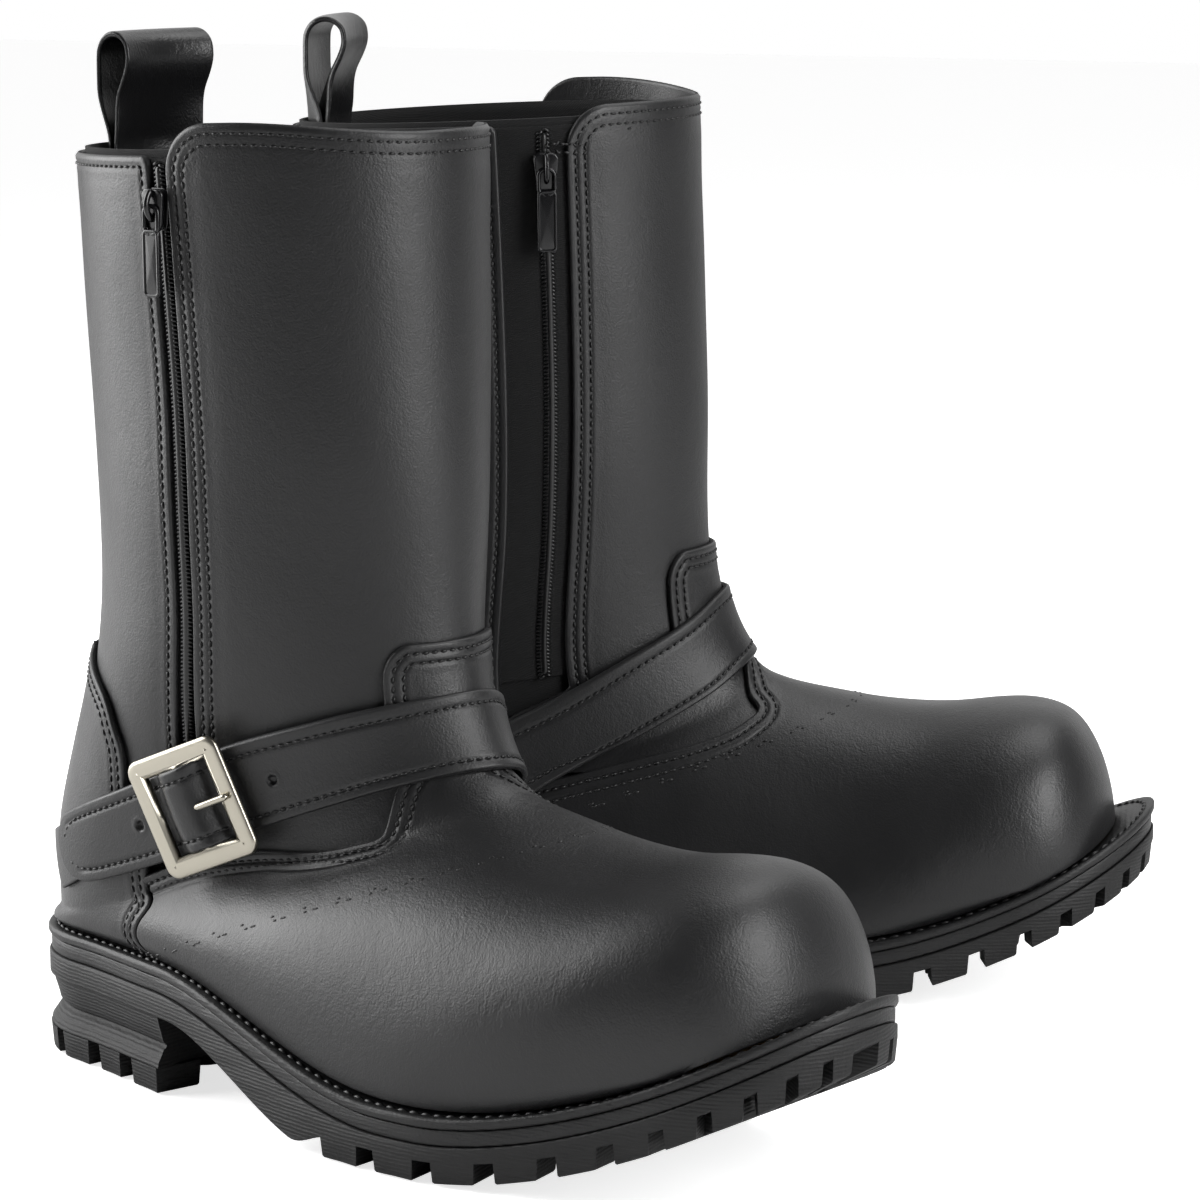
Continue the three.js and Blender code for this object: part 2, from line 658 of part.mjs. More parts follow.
function strap() {
  const tipRound = 0.045;
  const range = (t) => {
    const f = clamp((t - strapTip) / tipRound, 0, 1);
    const half = 0.46 * (0.12 + 0.88 * Math.sqrt(1 - (1 - f) ** 2));
    return [0.5 - half, 0.5 + half];
  };
  const body = toSolid(strip(strapPath(), strapThickness, range));
  const { origin, along, out } = buckleFrame();
  const slot = extruded(roundedRectangle(14.6, 3.8, 1.2), 20);
  slot.translate(5.6, 0, -10);
  return fromSolid(body.subtract(toSolid(oriented(slot, origin, along, out))));
}

// The chape: anchored towards the heel, it runs under the centre bar and folds back over it.
const chapeEnd = -0.80;
function chape() {
  const low = strapLow0 + chapeThickness / 2;
  const mid = buckleHeight + barRadius;
  const turn = barRadius + clearance + chapeThickness / 2;
  const path = [];
  for (let i = 0; i <= 8; i += 1) {
    const t = chapeEnd + (buckleT - 0.006 - chapeEnd) * i / 8;
    path.push([t, low + (mid - turn - low) * smooth(buckleT - 0.045, buckleT - 0.008, t)]);
  }
  for (let i = 0; i <= 6; i += 1) {
    const angle = -Math.PI / 2 + Math.PI * i / 6;
    path.push([buckleT + Math.cos(angle) * turn / roundLength, mid + turn * Math.sin(angle)]);
  }
  path.push([buckleT - 0.012, mid + turn]);
  const body = toSolid(strip(path, chapeThickness, () => [0.1, 0.9]));
  const { origin, along, out } = buckleFrame();
  const slot = extruded(roundedRectangle(22, 4.4, 1.2), 24);
  slot.translate(6, 0, -8);
  return fromSolid(body.subtract(toSolid(oriented(slot, origin, along, out))));
}

// The buckle's own frame: origin at the middle of the centre bar's underside, `along` towards
// the toe, `out` away from the boot.
function buckleFrame() {
  const centre = strapPoint(buckleT, 0.5, 0);
  const ahead = strapPoint(buckleT + 0.07, 0.5, 0);
  const behind = strapPoint(buckleT - 0.07, 0.5, 0);
  const topEdge = strapPoint(buckleT, 0.1, 0);
  const lowEdge = strapPoint(buckleT, 0.9, 0);
  const along = ahead.sub(behind).normalize();
  const upward = topEdge.sub(lowEdge).normalize();
  const out = along.clone().cross(upward).normalize();
  if (out.y > 0) out.negate();
  return { origin: centre.addScaledVector(out, buckleHeight), along, out };
}

function buckle() {
  const { origin, along, out } = buckleFrame();
  const shape = roundedRectangle(buckleLength, buckleWidth, 4);
  const inside = [buckleLength - 2 * buckleBar, buckleWidth - 2 * buckleBar];
  shape.holes.push(roundedRectangle(inside[0], inside[1], 1.6, THREE.Path));
  const ring = toSolid(extruded(shape, buckleThickness));
  const bar = new THREE.CylinderGeometry(barRadius, barRadius, buckleWidth - buckleBar, 10);
  bar.translate(0, 0, barRadius);
  return oriented(fromSolid(ring.add(toSolid(bar))), origin, along, out);
}

// The prong: an open hook round the centre bar, a bent wire and a tip over the front bar.
function prong() {
  const { origin, along, out } = buckleFrame();
  const hook = barRadius + clearance + prongRadius;
  const points = [];
  for (let i = 0; i <= 6; i += 1) {
    const angle = Math.PI * (-0.45 - 1.15 * i / 6);
    points.push(new THREE.Vector3(Math.cos(angle) * hook, 0, barRadius + Math.sin(angle) * hook));
  }
  const rest = buckleThickness + clearance + prongRadius;
  points.push(new THREE.Vector3(4.5, 0, rest + 0.9));
  points.push(new THREE.Vector3(9, 0, rest + 0.3));
  points.push(new THREE.Vector3(buckleLength / 2 - 1.5, 0, rest));
  const wire = new THREE.Shape();
  wire.absarc(0, 0, prongRadius, 0, Math.PI * 2);
  const route = new THREE.CatmullRomCurve3(points);
  const geometry = new THREE.ExtrudeGeometry(wire, {
    steps: 18, curveSegments: 3, extrudePath: route, bevelEnabled: false,
  });
  return oriented(geometry, origin, along, out);
}

// The pull loop stands on the back of the rim: both ends are sewn inside the lining.
function pullLoop() {
  const seat = onSkin(0.08, 1, liningLayer[0] - clearance - loopThickness * 1.5 - clearance / 2);
  const rim = seat.z;
  const path = [];
  const gap = loopThickness / 2 + clearance / 2;
  const bulge = loopBulge;
  path.push([-gap, -18], [-gap, 0], [-gap - 0.5, loopRise * 0.3], [-gap - 0.6, loopRise - bulge - 1]);
  for (let i = 1; i < 8; i += 1) {
    const angle = Math.PI - Math.PI * i / 8;
    path.push([bulge - 1.4 + bulge * Math.cos(angle), loopRise - bulge - 0.9 + bulge * Math.sin(angle)]);
  }
  path.push([2 * bulge - 1.6, loopRise - bulge - 4], [bulge, loopRise * 0.42], [gap + 1, loopRise * 0.1]);
  path.push([gap, 0], [gap, -18]);
  const flat = path.map(([x, z]) => new THREE.Vector2(x, z));
  const lean = (z) => -0.06 * Math.min(z, 0);
  const face = (sign) => flat.map((p, i) => {
    const a = flat[Math.max(i - 1, 0)];
    const b = flat[Math.min(i + 1, flat.length - 1)];
    const along = b.clone().sub(a).normalize();
    const x = p.x - sign * along.y * loopThickness / 2;
    const z = p.y + sign * along.x * loopThickness / 2;
    return [-1, -0.5, 0, 0.5, 1].map((f) => {
      const bow = (7.2 - 4.6 * smooth(0, loopRise * 0.5, z)) * f * f;
      return new THREE.Vector3(seat.x + x + bow + lean(z), f * loopWidth / 2, rim + z);
    });
  });
  return plate(face(1), face(-1));
}

// ---------------------------------------------------------------- sole pieces

// A slab between two heights that vary with x, inside the sole edge set in by inset.
function slab(inset, from, to, bottom, top, steps = 26, across = 2) {
  const grid = (height) => {
    const result = [];
    for (let i = 0; i <= steps; i += 1) {
      const u = from + (to - from) * i / steps;
      const a = soleEdge(-1, u, inset);
      const b = u === 0 || u === 1 ? a : soleEdge(1, u, inset);
      if (b === a) a[1] = 0;
      const line = [];
      for (let j = 0; j <= across; j += 1) {
        const f = j / across;
        const x = a[0] + (b[0] - a[0]) * f;
        line.push(new THREE.Vector3(x, a[1] + (b[1] - a[1]) * f, height(x)));
      }
      result.push(line);
    }
    return result;
  };
  return plate(grid(top), grid(bottom));
}

const shareAt = (x) => Math.acos(1 - 2 * x / soleLength) / Math.PI;

function welt() {
  const around = [];
  for (let i = 0; i <= 24; i += 1) around.push([-1, i / 24]);
  for (let i = 23; i >= 0; i -= 1) around.push([1, i / 24]);
  const grid = (height) => around.map(([side, u]) => [0, weltWidth].map((inset) => {
    const [x, y] = soleEdge(side, u, inset);
    return new THREE.Vector3(x, u === 0 || u === 1 ? 0 : y, height(x));
  }));
  return plate(grid(weltTop), grid(weltBottom));
}

const midsole = () => slab(0.8, 0, 1, midsoleBottom, midsoleTop);
const insoleBottom = (x) => weltTop(x) + clearance;
const insoleTop = (x) => insoleBottom(x) + insoleThickness;
const insideInset = featherInset - liningLayer[0] + 4.5;
const insole = () => slab(insideInset, 0, 0.935, insoleBottom, insoleTop);
const footbed = () => slab(insideInset + 3, 0, 0.875, (x) => insoleTop(x) + clearance,
  (x) => insoleTop(x) + clearance + footbedThickness);
const fillerInset = weltWidth + 0.6;
const filler = () => slab(fillerInset, shareAt(178 * grade), 0.93,
  (x) => midsoleTop(x) + soleClearance, (x) => weltTop(x) - 0.2, 12, 2);

// Spring steel strip under the arch, between the heel seat and the ball.
function shank() {
  const [from, to, half] = [52 * grade, 172 * grade, 8];
  const grid = (lift) => {
    const result = [];
    for (let i = 0; i <= 10; i += 1) {
      const x = from + (to - from) * i / 10;
      const z = midsoleTop(x) + soleClearance + lift;
      result.push([-half, half].map((y) => new THREE.Vector3(x, y, z)));
    }
    return result;
  };
  return plate(grid(2), grid(0));
}

// Cutters for the notches between lugs: blocks set across the sole edge.
function notches(positions, low, depthIn) {
  const blocks = [];
  for (const side of [-1, 1]) {
    for (const u of positions) {
      const [x, y] = soleEdge(side, u, 0);
      const [x2, y2] = soleEdge(side, u, 10);
      const block = new THREE.BoxGeometry(depthIn * 2, lugNotch, lugDepth * 2);
      block.rotateZ(Math.atan2(y2 - y, x2 - x));
      block.translate(x, y, low(x));
      blocks.push(toSolid(block));
    }
  }
  return blocks;
}

const forefootStart = 158 * grade;
function outsole() {
  let solid = toSolid(slab(0, 0, 1, outsoleBottom, outsoleTop));
  const first = shareAt(forefootStart + 8);
  const positions = [];
  for (let i = 0; i <= 9; i += 1) positions.push(first + (0.955 - first) * i / 9);
  for (const block of notches(positions, outsoleBottom, 9)) solid = solid.subtract(block);
  return fromSolid(solid);
}

// Heel block: stacked outlines that draw in below the top and flare again at the bottom.
function heelBlock() {
  const levels = [[0, 0], [8, 0.4], [14, 3], [20, 2.4], [heelBlockHeight, 1.2]];
  const end = shareAt(heelBreast);
  const steps = 12;
  const ring = ([z, inset]) => {
    const side = (sign) => Array.from({ length: steps + 1 }, (unused, i) => {
      const [x, y] = soleEdge(sign, end * i / steps, inset);
      return new THREE.Vector3(Math.min(x, heelBreast), i === 0 ? 0 : y, z);
    });
    return [...side(-1).reverse(), ...side(1).slice(1)];
  };
  const rings = levels.map(ring);
  const n = rings[0].length;
  const points = rings.flat();
  const faces = [];
  for (let k = 0; k + 1 < rings.length; k += 1) {
    for (let i = 0; i < n; i += 1) {
      const j = (i + 1) % n;
      faces.push([k * n + i, k * n + j, (k + 1) * n + j], [k * n + i, (k + 1) * n + j, (k + 1) * n + i]);
    }
  }
  const top = (rings.length - 1) * n;
  for (let i = 1; i + 1 < n; i += 1) faces.push([0, i + 1, i], [top, top + i, top + i + 1]);
  const geometry = new THREE.BufferGeometry();
  geometry.setAttribute('position', new THREE.Float32BufferAttribute(points.flatMap((p) => p.toArray()), 3));
  geometry.setIndex(faces.flat());
  let solid = toSolid(volume(geometry) < 0 ? flipped(geometry) : geometry);
  const positions = [0.1, 0.17, 0.235, 0.285];
  for (const block of notches(positions, () => 0, 8)) solid = solid.subtract(block);
  return fromSolid(solid);
}

// ---------------------------------------------------------------- the pair

const pieces = {
  outsole: [outsole, 'rubber'],
  heel_block: [heelBlock, 'rubber'],
  midsole: [midsole, 'rubber'],
  welt: [welt, 'rubber'],
  insole_board: [insole, 'board'],
  footbed: [footbed, 'lining'],
  cork_filler: [filler, 'board'],
  shank: [shank, 'steel'],
  toe_puff: [toePuff, 'board'],
  heel_stiffener: [heelStiffener, 'board'],
  lining: [lining, 'lining'],
  vamp: [vamp, 'leather'],
  front_panel: [frontPanel, 'leather'],
  rear_panel: [rearPanel, 'leather'],
  counter_cover: [counterCover, 'leather'],
  backstay: [backstay, 'leather'],
  pull_loop: [pullLoop, 'leather'],
  strap: [strap, 'leather'],
  chape: [chape, 'leather'],
  buckle: [buckle, 'nickel'],
  prong: [prong, 'nickel'],
  outer_zip: [() => zip(zips.outer), 'zip'],
  inner_zip: [() => zip(zips.inner), 'zip'],
  outer_slider: [() => slider('outer'), 'zip'],
  inner_slider: [() => slider('inner'), 'zip'],
  outer_pull: [() => pull('outer'), 'zip'],
  inner_pull: [() => pull('inner'), 'zip'],
};

// Mirrored copy for the other foot.
function mirrored(geometry) {
  const copy = geometry.clone();
  copy.scale(1, -1, 1);
  return flipped(copy);
}

function boot(hand) {
  const group = new THREE.Group();
  for (const [name, [make, finish]] of Object.entries(pieces)) {
    let geometry = make();
    geometry.deleteAttribute('normal');
    geometry.deleteAttribute('uv');
    geometry = mergeVertices(geometry, 1e-3);
    const mesh = new THREE.Mesh(
      hand === 'right' ? geometry : mirrored(geometry),
      new THREE.MeshStandardMaterial(materials[finish]),
    );
    mesh.name = `${hand}_${name}`;
    group.add(mesh);
  }
  const side = hand === 'right' ? -1 : 1;
  group.position.set(side * heelGap / 2, 0, 0);
  group.rotation.z = THREE.MathUtils.degToRad(-90 + side * turnOut);
  return group;
}

const pair = new THREE.Group();
pair.add(boot('right'), boot('left'));
pair.updateMatrixWorld(true);
const box = new THREE.Box3().setFromObject(pair, true);
pair.position.y = -(box.min.y + box.max.y) / 2;

export default pair;
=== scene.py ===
"""Looks for a pair of black leather engineer boots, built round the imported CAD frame.

Everything is worked out in millimetres in the right boot's own frame: x forward from the back of
the sole, y towards the other boot, z up. The upper is one surface of two parameters, s from the
rim (0) to the toe (18) and t from the front centre line (0) to the back seam or the sole edge
(1), negative on the outer side. The left boot is the mirror image.
"""
import math

import bpy
import numpy as np
from mathutils import Matrix, Vector


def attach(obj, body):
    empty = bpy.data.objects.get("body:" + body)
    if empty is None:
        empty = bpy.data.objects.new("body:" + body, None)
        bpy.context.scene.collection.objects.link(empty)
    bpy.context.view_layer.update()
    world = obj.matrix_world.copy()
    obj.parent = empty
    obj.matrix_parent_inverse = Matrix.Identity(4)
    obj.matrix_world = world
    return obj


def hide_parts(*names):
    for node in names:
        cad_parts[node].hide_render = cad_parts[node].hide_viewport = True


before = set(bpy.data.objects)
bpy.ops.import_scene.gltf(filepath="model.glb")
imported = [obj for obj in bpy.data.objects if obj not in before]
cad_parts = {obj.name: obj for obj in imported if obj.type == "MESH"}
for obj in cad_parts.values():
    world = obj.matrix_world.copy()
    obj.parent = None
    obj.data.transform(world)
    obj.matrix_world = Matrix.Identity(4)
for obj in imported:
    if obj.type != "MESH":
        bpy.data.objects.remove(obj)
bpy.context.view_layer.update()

SOLE_LENGTH = 322.0
HEEL_GAP = 102.8
TURN_OUT = 15.9
PAIR_Y = 154.55
LEATHER = 1.8
WELT_THICKNESS = 3.4
MIDSOLE = 4.6
FEATHER_INSET = 6.0
HEEL_HEIGHT = 25.0
HEEL_BREAST = 82.0
LUG_DEPTH = 6.5
STRAP_THICKNESS = 2.2
CHAPE_THICKNESS = 1.3
PLAY = 0.3                # air between two hard parts that move on each other
EDGE_ROLL = 0.9           # how far in from a cut edge the leather is rounded down
THREAD_SINK = 0.1         # how deep a thread's middle lies under the leather's face
UNDERSIDE = 0.35          # underside of a covering piece, above the shaft panels' face
LINING_FACE, LINING_BACK = -3.2, -4.8
CLOSE_ROWS = [3.0, 6.2]   # two rows of stitches, in mm from the edge
WIDE_ROWS = [3.2, 6.6]


# ------------------------------------------------------------------ curves and the skin

def smooth(a, b, x):
    """0 below a, 1 above b, and the cubic 3f^2 - 2f^3 between them."""
    f = np.clip((np.asarray(x, float) - a) / (b - a), 0, 1)
    return f * f * (3 - 2 * f)


def curve(xs, ys):
    """Smooth line through points: cubic between neighbours, with slopes averaged from them."""
    xs, ys = np.asarray(xs, float), np.asarray(ys, float)
    step = np.diff(xs)
    slope = np.diff(ys) / step
    inner = (slope[:-1] * step[1:] + slope[1:] * step[:-1]) / (step[:-1] + step[1:])
    tangent = np.concatenate([slope[:1], inner, slope[-1:]])

    def at(x):
        x = np.clip(x, xs[0], xs[-1])
        i = np.clip(np.searchsorted(xs, x, side="right") - 1, 0, len(xs) - 2)
        f = (x - xs[i]) / step[i]
        g = 1 - f
        return ((1 + 2 * f) * g * g * ys[i] + f * g * g * step[i] * tangent[i]
                + f * f * (3 - 2 * f) * ys[i + 1] - f * f * g * step[i] * tangent[i + 1])
    return at


outer_half = curve([0, 40, 75, 120, 200, 276, 322], [40, 43, 50, 59, 64.5, 46, 38])
inner_half = curve([0, 40, 130, 222, 282, 322], [40, 42, 41, 56, 47, 42])


def round_end(x):
    """Share of the sole's half width left at x: a superellipse at the heel and one at the toe."""
    heel = (1 - np.clip(1 - x / 36, 0, 1) ** 2.3) ** (1 / 2.3)
    toe = np.clip(1 - np.clip((x - (SOLE_LENGTH - 46)) / 46, 0, 1) ** 2.15, 0, 1) ** (1 / 2.15)
    return heel * toe


def sole_edge(side, u, inset=0.0):
    """Point of the sole's outline, u from the heel (0) to the toe (1), set in by inset."""
    def at(v):
        v = np.clip(v, 0, 1)
        x = SOLE_LENGTH / 2 * (1 - np.cos(math.pi * v))
        half = np.where(side > 0, inner_half(x), outer_half(x))
        return x, side * half * round_end(x)
    side, u, inset = np.broadcast_arrays(np.asarray(side, float), np.asarray(u, float),
                                         np.asarray(inset, float))
    ax, ay = at(u - 1e-3)
    bx, by = at(u + 1e-3)
    size = np.hypot(bx - ax, by - ay)
    px, py = at(u)
    return px + side * inset * (by - ay) / size, py - side * inset * (bx - ax) / size


def spring(x):
    """Lift of the forefoot off the ground: a power of the way from the ball to the toe."""
    return 43 * np.clip((np.asarray(x, float) - 201) / 121, 0, None) ** 1.83


def welt_top(x):
    """Height of the welt: level over the heel, eased down to the forefoot, then the spring."""
    f = smooth(80, 190, x)
    return 41.8 * (1 - f) + 20.2 * f + spring(x)


def outsole_bottom(x):
    """Height of the tread: the heel seat, eased down through the waist, then the spring."""
    f = smooth(HEEL_BREAST + 4, 167, x)
    return (HEEL_HEIGHT + 0.3) * (1 - f) + spring(x)


# One row for each station s of the upper: front x, z; back x, z; share of the sole's outline where
# the section lands; half width outside, inside; share of the section's depth at which it is widest;
# power of the superellipse.
STATIONS = np.array([
    [163, 305, 21, 299.1, 0, 57, 57, .50, 2.00],
    [164.5, 254.6, 24, 249.6, 0, 55.1, 55.1, .51, 2.00],
    [165.5, 205, 27, 200, 0, 53.2, 53.2, .53, 1.95],
    [166, 163, 28, 158, 0, 51.5, 51.5, .57, 1.85],
    [168, 137, 23, 128, 0, 50, 50, .61, 1.80],
    [174, 119, 13.5, 100, 0, 47, 46.5, .65, 1.80],
    [184, 105.5, 5.5, 73, 0, 45.5, 44.5, .70, 1.85],
    [193, 101, 6, 43, 0, 44, 43, .74, 1.90],
    [203, 98.3, 0, 0, .169, 45, 43, .74, 1.95],
    [214, 96, 0, 0, .272, 49.5, 43, .75, 2.00],
    [227, 93.6, 0, 0, .367, 54.5, 43, .77, 2.00],
    [241, 92.4, 0, 0, .460, 58.5, 44, .78, 2.05],
    [255, 92.6, 0, 0, .550, 60, 47, .80, 2.10],
    [269, 94.4, 0, 0, .633, 56.5, 50.5, .82, 2.20],
    [282, 94.6, 0, 0, .680, 52, 50, .85, 2.30],
    [293, 90.8, 0, 0, .720, 47.5, 48, .88, 2.30],
    [300.5, 80.2, 0, 0, .747, 43.5, 46, .91, 2.20],
    [304.8, 67, 0, 0, .768, 40, 43.5, .95, 2.10],
    [306.4, 55.9, 0, 0, .785, 37, 41, .99, 2.00],
])
S_STEP, T_STEP = 0.05, 1 / 256
S_FIRST = -0.3            # the table runs on a little above the rim


def skin_table():
    """The skin as a grid over s and t. Each section is a quarter of a superellipse from the
    front out to its widest point, then part of an ellipse in to the back seam or the sole."""
    n = np.arange(19)
    s = np.arange(0, 18.0001, S_STEP)
    col = lambda k, a=0, b=19: curve(n[a:b], STATIONS[a:b, k])(s)
    front_x, front_z = col(0), col(1)
    back_x, back_z = col(2, 0, 8), col(3, 0, 8)
    share, widest, power = col(4, 7), col(7), 2 / col(8)
    curl = math.pi / 2 * (1 - 0.5 * smooth(7, 9.5, s))
    k = 160
    halves = []
    for side in (-1, 1):
        ex, ey = sole_edge(side, share, FEATHER_INSET)
        on_sole = s > 7
        foot = np.where(on_sole[:, None], np.stack([ex, np.abs(ey), welt_top(ex) + 1.2], 1),
                        np.stack([back_x, 0 * s, back_z], 1))
        width = np.maximum(col(6 if side > 0 else 5), foot[:, 1] + 0.3)
        f = math.pi / 2 * np.arange(k + 1) / k
        along = widest[:, None] * (1 - np.clip(np.cos(f), 0, 1)[None] ** power[:, None])
        out = width[:, None] * np.sin(f)[None] ** power[:, None]
        g = curl[:, None] * (np.arange(1, k + 1) / k)[None]
        c = np.cos(curl)[:, None]
        along2 = widest[:, None] + (1 - widest)[:, None] * np.sin(g) / np.sin(curl)[:, None]
        out2 = foot[:, 1:2] + (width - foot[:, 1])[:, None] * (np.cos(g) - c) / (1 - c)
        along, out = np.hstack([along, along2]), np.hstack([out, out2])
        line = np.stack([front_x[:, None] + along * (foot[:, 0] - front_x)[:, None], side * out,
                         front_z[:, None] + along * (foot[:, 2] - front_z)[:, None]], 2)
        length = np.concatenate([np.zeros((len(s), 1)),
                                 np.cumsum(np.linalg.norm(np.diff(line, axis=1), axis=2), 1)], 1)
        want = np.linspace(0, 1, 257)
        halves.append(np.array([[np.interp(want * row[-1], row, p[:, j]) for j in range(3)]
                                for row, p in zip(length, line)]).transpose(0, 2, 1))
    points = np.concatenate([halves[0][:, :0:-1], halves[1]], 1)
    # Soften the change of curvature at the stations, but keep every edge where it is.
    t = np.abs(np.linspace(-1, 1, 513))
    kernel = np.exp(-0.5 * (np.arange(-12, 13) / 5.0) ** 2)
    kernel /= kernel.sum()
    padded = np.concatenate([points[:1].repeat(12, 0), points, points[-1:].repeat(12, 0)])
    soft = sum(w * padded[i:i + len(s)] for i, w in enumerate(kernel))
    keep = (smooth(0, 0.8, s) * (1 - smooth(17, 17.9, s)))[:, None] * (
        1 - smooth(0.8, 0.97, t)[None] * (1 - smooth(1.0, 1.6, np.abs(s - 7)))[:, None])
    points += (soft - points) * keep[..., None]
    ds = np.gradient(points, axis=0)
    dt = np.gradient(points, axis=1)
    dt[:, 0, 1], dt[:, -1, 1] = np.where(s[:, None] <= 7, 1, dt[:, [0, -1], 1]).T
    dt[s <= 7, 0, 0] = dt[s <= 7, -1, 0] = dt[s <= 7, 0, 2] = dt[s <= 7, -1, 2] = 0
    dt[s <= 7, 0, 1] = dt[s <= 7, -1, 1] = -1
    normal = np.cross(ds, dt)
    normal[s <= 7, -1] = normal[s <= 7, 0]
    normal /= np.linalg.norm(normal, axis=2, keepdims=True) + 1e-12
    near = np.maximum(smooth(0.8, 1, t)[None] * smooth(6, 7, s)[:, None],
                      smooth(17, 18, s)[:, None])
    normal[..., 2] *= 1 - near
    normal /= np.linalg.norm(normal, axis=2, keepdims=True) + 1e-12
    inside = [np.interp(s, [0, 7, 18], v) for v in ([92, 100, 230], [0, 0, 0], [300, 70, 45])]
    if ((points - np.array(inside).T[:, None]) * normal).sum() < 0:
        normal = -normal
    above = np.arange(S_FIRST, -0.001, S_STEP)[:, None, None]
    slope = (points[10:11] - points[:1]) / (10 * S_STEP)
    points = np.concatenate([points[:1] + above * slope, points])
    normal = np.concatenate([normal[:1].repeat(len(above), 0), normal])
    return points, normal


SKIN, NORMAL = skin_table()


def lookup(table, s, t, cubic=True):
    """Value of a grid at s and t, by Catmull-Rom cubics through its points or by straight lines."""
    i = np.clip((np.asarray(s, float) - S_FIRST) / S_STEP, 0, table.shape[0] - 1)
    j = np.clip((np.asarray(t, float) + 1) / T_STEP, 0, table.shape[1] - 1)
    i, j = np.broadcast_arrays(i, j)
    i0 = np.minimum(i.astype(int), table.shape[0] - 2)
    j0 = np.minimum(j.astype(int), table.shape[1] - 2)
    f, g = i - i0, j - j0

    def weights(x):
        if not cubic:
            return [0 * x, 1 - x, x, 0 * x]
        return [((2 - x) * x - 1) * x / 2, ((3 * x - 5) * x * x + 2) / 2,
                ((4 - 3 * x) * x + 1) * x / 2, (x - 1) * x * x / 2]
    total = 0
    for a, wa in zip(range(-1, 3), weights(f)):
        ia = np.clip(i0 + a, 0, table.shape[0] - 1)
        for b, wb in zip(range(-1, 3), weights(g)):
            jb = np.clip(j0 + b, 0, table.shape[1] - 1)
            total = total + (wa * wb)[..., None] * table[ia, jb]
    return total


def soft_shape(p):
    """Gentle unevenness of worn-in leather, in mm outwards: long waves that fade at the sole."""
    x, y, z = p[..., 0], p[..., 1], p[..., 2]
    waves = (0.55 * np.sin(x / 23 + 1.1 * np.sin(z / 31)) * np.sin(z / 27 + y / 29 + 0.7)
             + 0.3 * np.sin(z / 11.5 + x / 37 + 1.7 * np.sin(y / 25)) * np.sin(x / 19 + 0.4))
    shaft = smooth(120, 170, z) * (1 - smooth(270, 300, z))
    ankle = np.exp(-((z - 118) / 24) ** 2)
    return waves * (0.75 * shaft + 0.9 * ankle)


def skin(s, t, height=0.0):
    """Point on the upper's surface, height mm out from it."""
    p = lookup(SKIN, s, t)
    return p + skin_normal(s, t) * (np.asarray(height, float) + soft_shape(p))[..., None]


def skin_normal(s, t):
    """Unit direction out of the upper."""
    n = lookup(NORMAL, s, t, cubic=False)
    return n / (np.linalg.norm(n, axis=-1, keepdims=True) + 1e-12)


# ------------------------------------------------------------------ meshes

def grid_faces(n, m):
    """Quads of an open grid of n rows with m points each."""
    i, j = np.meshgrid(np.arange(n - 1), np.arange(m - 1), indexing="ij")
    a, b = i * m + j, (i + 1) * m + j
    return np.stack([a, b, b + 1, a + 1], -1).reshape(-1, 4)


def ring_faces(rings, n, closed=False):
    """Quads between closed rings of n points; closed joins the last ring to the first as well."""
    r, k = np.meshgrid(np.arange(rings if closed else rings - 1), np.arange(n), indexing="ij")
    up, on = (r + 1) % rings, (k + 1) % n
    return np.stack([r * n + k, r * n + on, up * n + on, up * n + k], -1).reshape(-1, 4)


def oriented(verts, faces):
    """Turns all faces of a closed mesh outward, by the sign of its volume."""
    a, b, c, d = (verts[faces[:, k]] for k in range(4))
    volume = (np.cross(a, b) * c).sum() + (np.cross(a, c) * d).sum()
    return faces[:, ::-1] if volume < 0 else faces


def shell(tops, bottoms):
    """Closed body from grids of top points and the matching grids of bottom points. Points that
    coincide are welded, and each open edge gets a wall."""
    top = np.concatenate([g.reshape(-1, 3) for g in tops])
    bottom = np.concatenate([g.reshape(-1, 3) for g in bottoms])
    faces, start = [], 0
    for g in tops:
        faces.append(grid_faces(*g.shape[:2]) + start)
        start += g.shape[0] * g.shape[1]
    faces = np.concatenate(faces)
    keys = np.round(top * 200).astype(np.int64)
    _, first, inverse = np.unique(keys, axis=0, return_index=True, return_inverse=True)
    inverse = inverse.reshape(-1)
    top, bottom, faces = top[first], bottom[first], inverse[faces]
    degenerate = (faces == np.roll(faces, 1, 1)).sum(1) > 1
    faces = faces[~degenerate]
    n = len(top)
    edges = np.stack([faces, np.roll(faces, -1, 1)], -1).reshape(-1, 2)
    edges = edges[edges[:, 0] != edges[:, 1]]
    code = edges[:, 0].astype(np.int64) * n + edges[:, 1]
    twin = edges[:, 1].astype(np.int64) * n + edges[:, 0]
    open_edges = edges[~np.isin(code, twin)]
    wall = np.stack([open_edges[:, 1], open_edges[:, 0], open_edges[:, 0] + n,
                     open_edges[:, 1] + n], 1)
    verts = np.concatenate([top, bottom])
    all_faces = np.concatenate([faces, faces[:, ::-1] + n, wall])
    marks = np.concatenate([np.zeros(2 * len(faces), int), np.ones(len(wall), int)])
    turned = oriented(verts, all_faces)
    return verts, turned, marks


def distance(points, path):
    """Distance from each point to a polyline."""
    flat = points.reshape(-1, 3)
    a, ab = path[:-1], np.diff(path, axis=0)
    size = (ab * ab).sum(1) + 1e-12
    out = np.empty(len(flat))
    for k in range(0, len(flat), 3000):
        ap = flat[k:k + 3000, None] - a[None]
        f = np.clip((ap * ab).sum(2) / size, 0, 1)
        gap = ap - f[..., None] * ab
        out[k:k + 3000] = np.sqrt((gap * gap).sum(2).min(1))
    return out.reshape(points.shape[:-1])


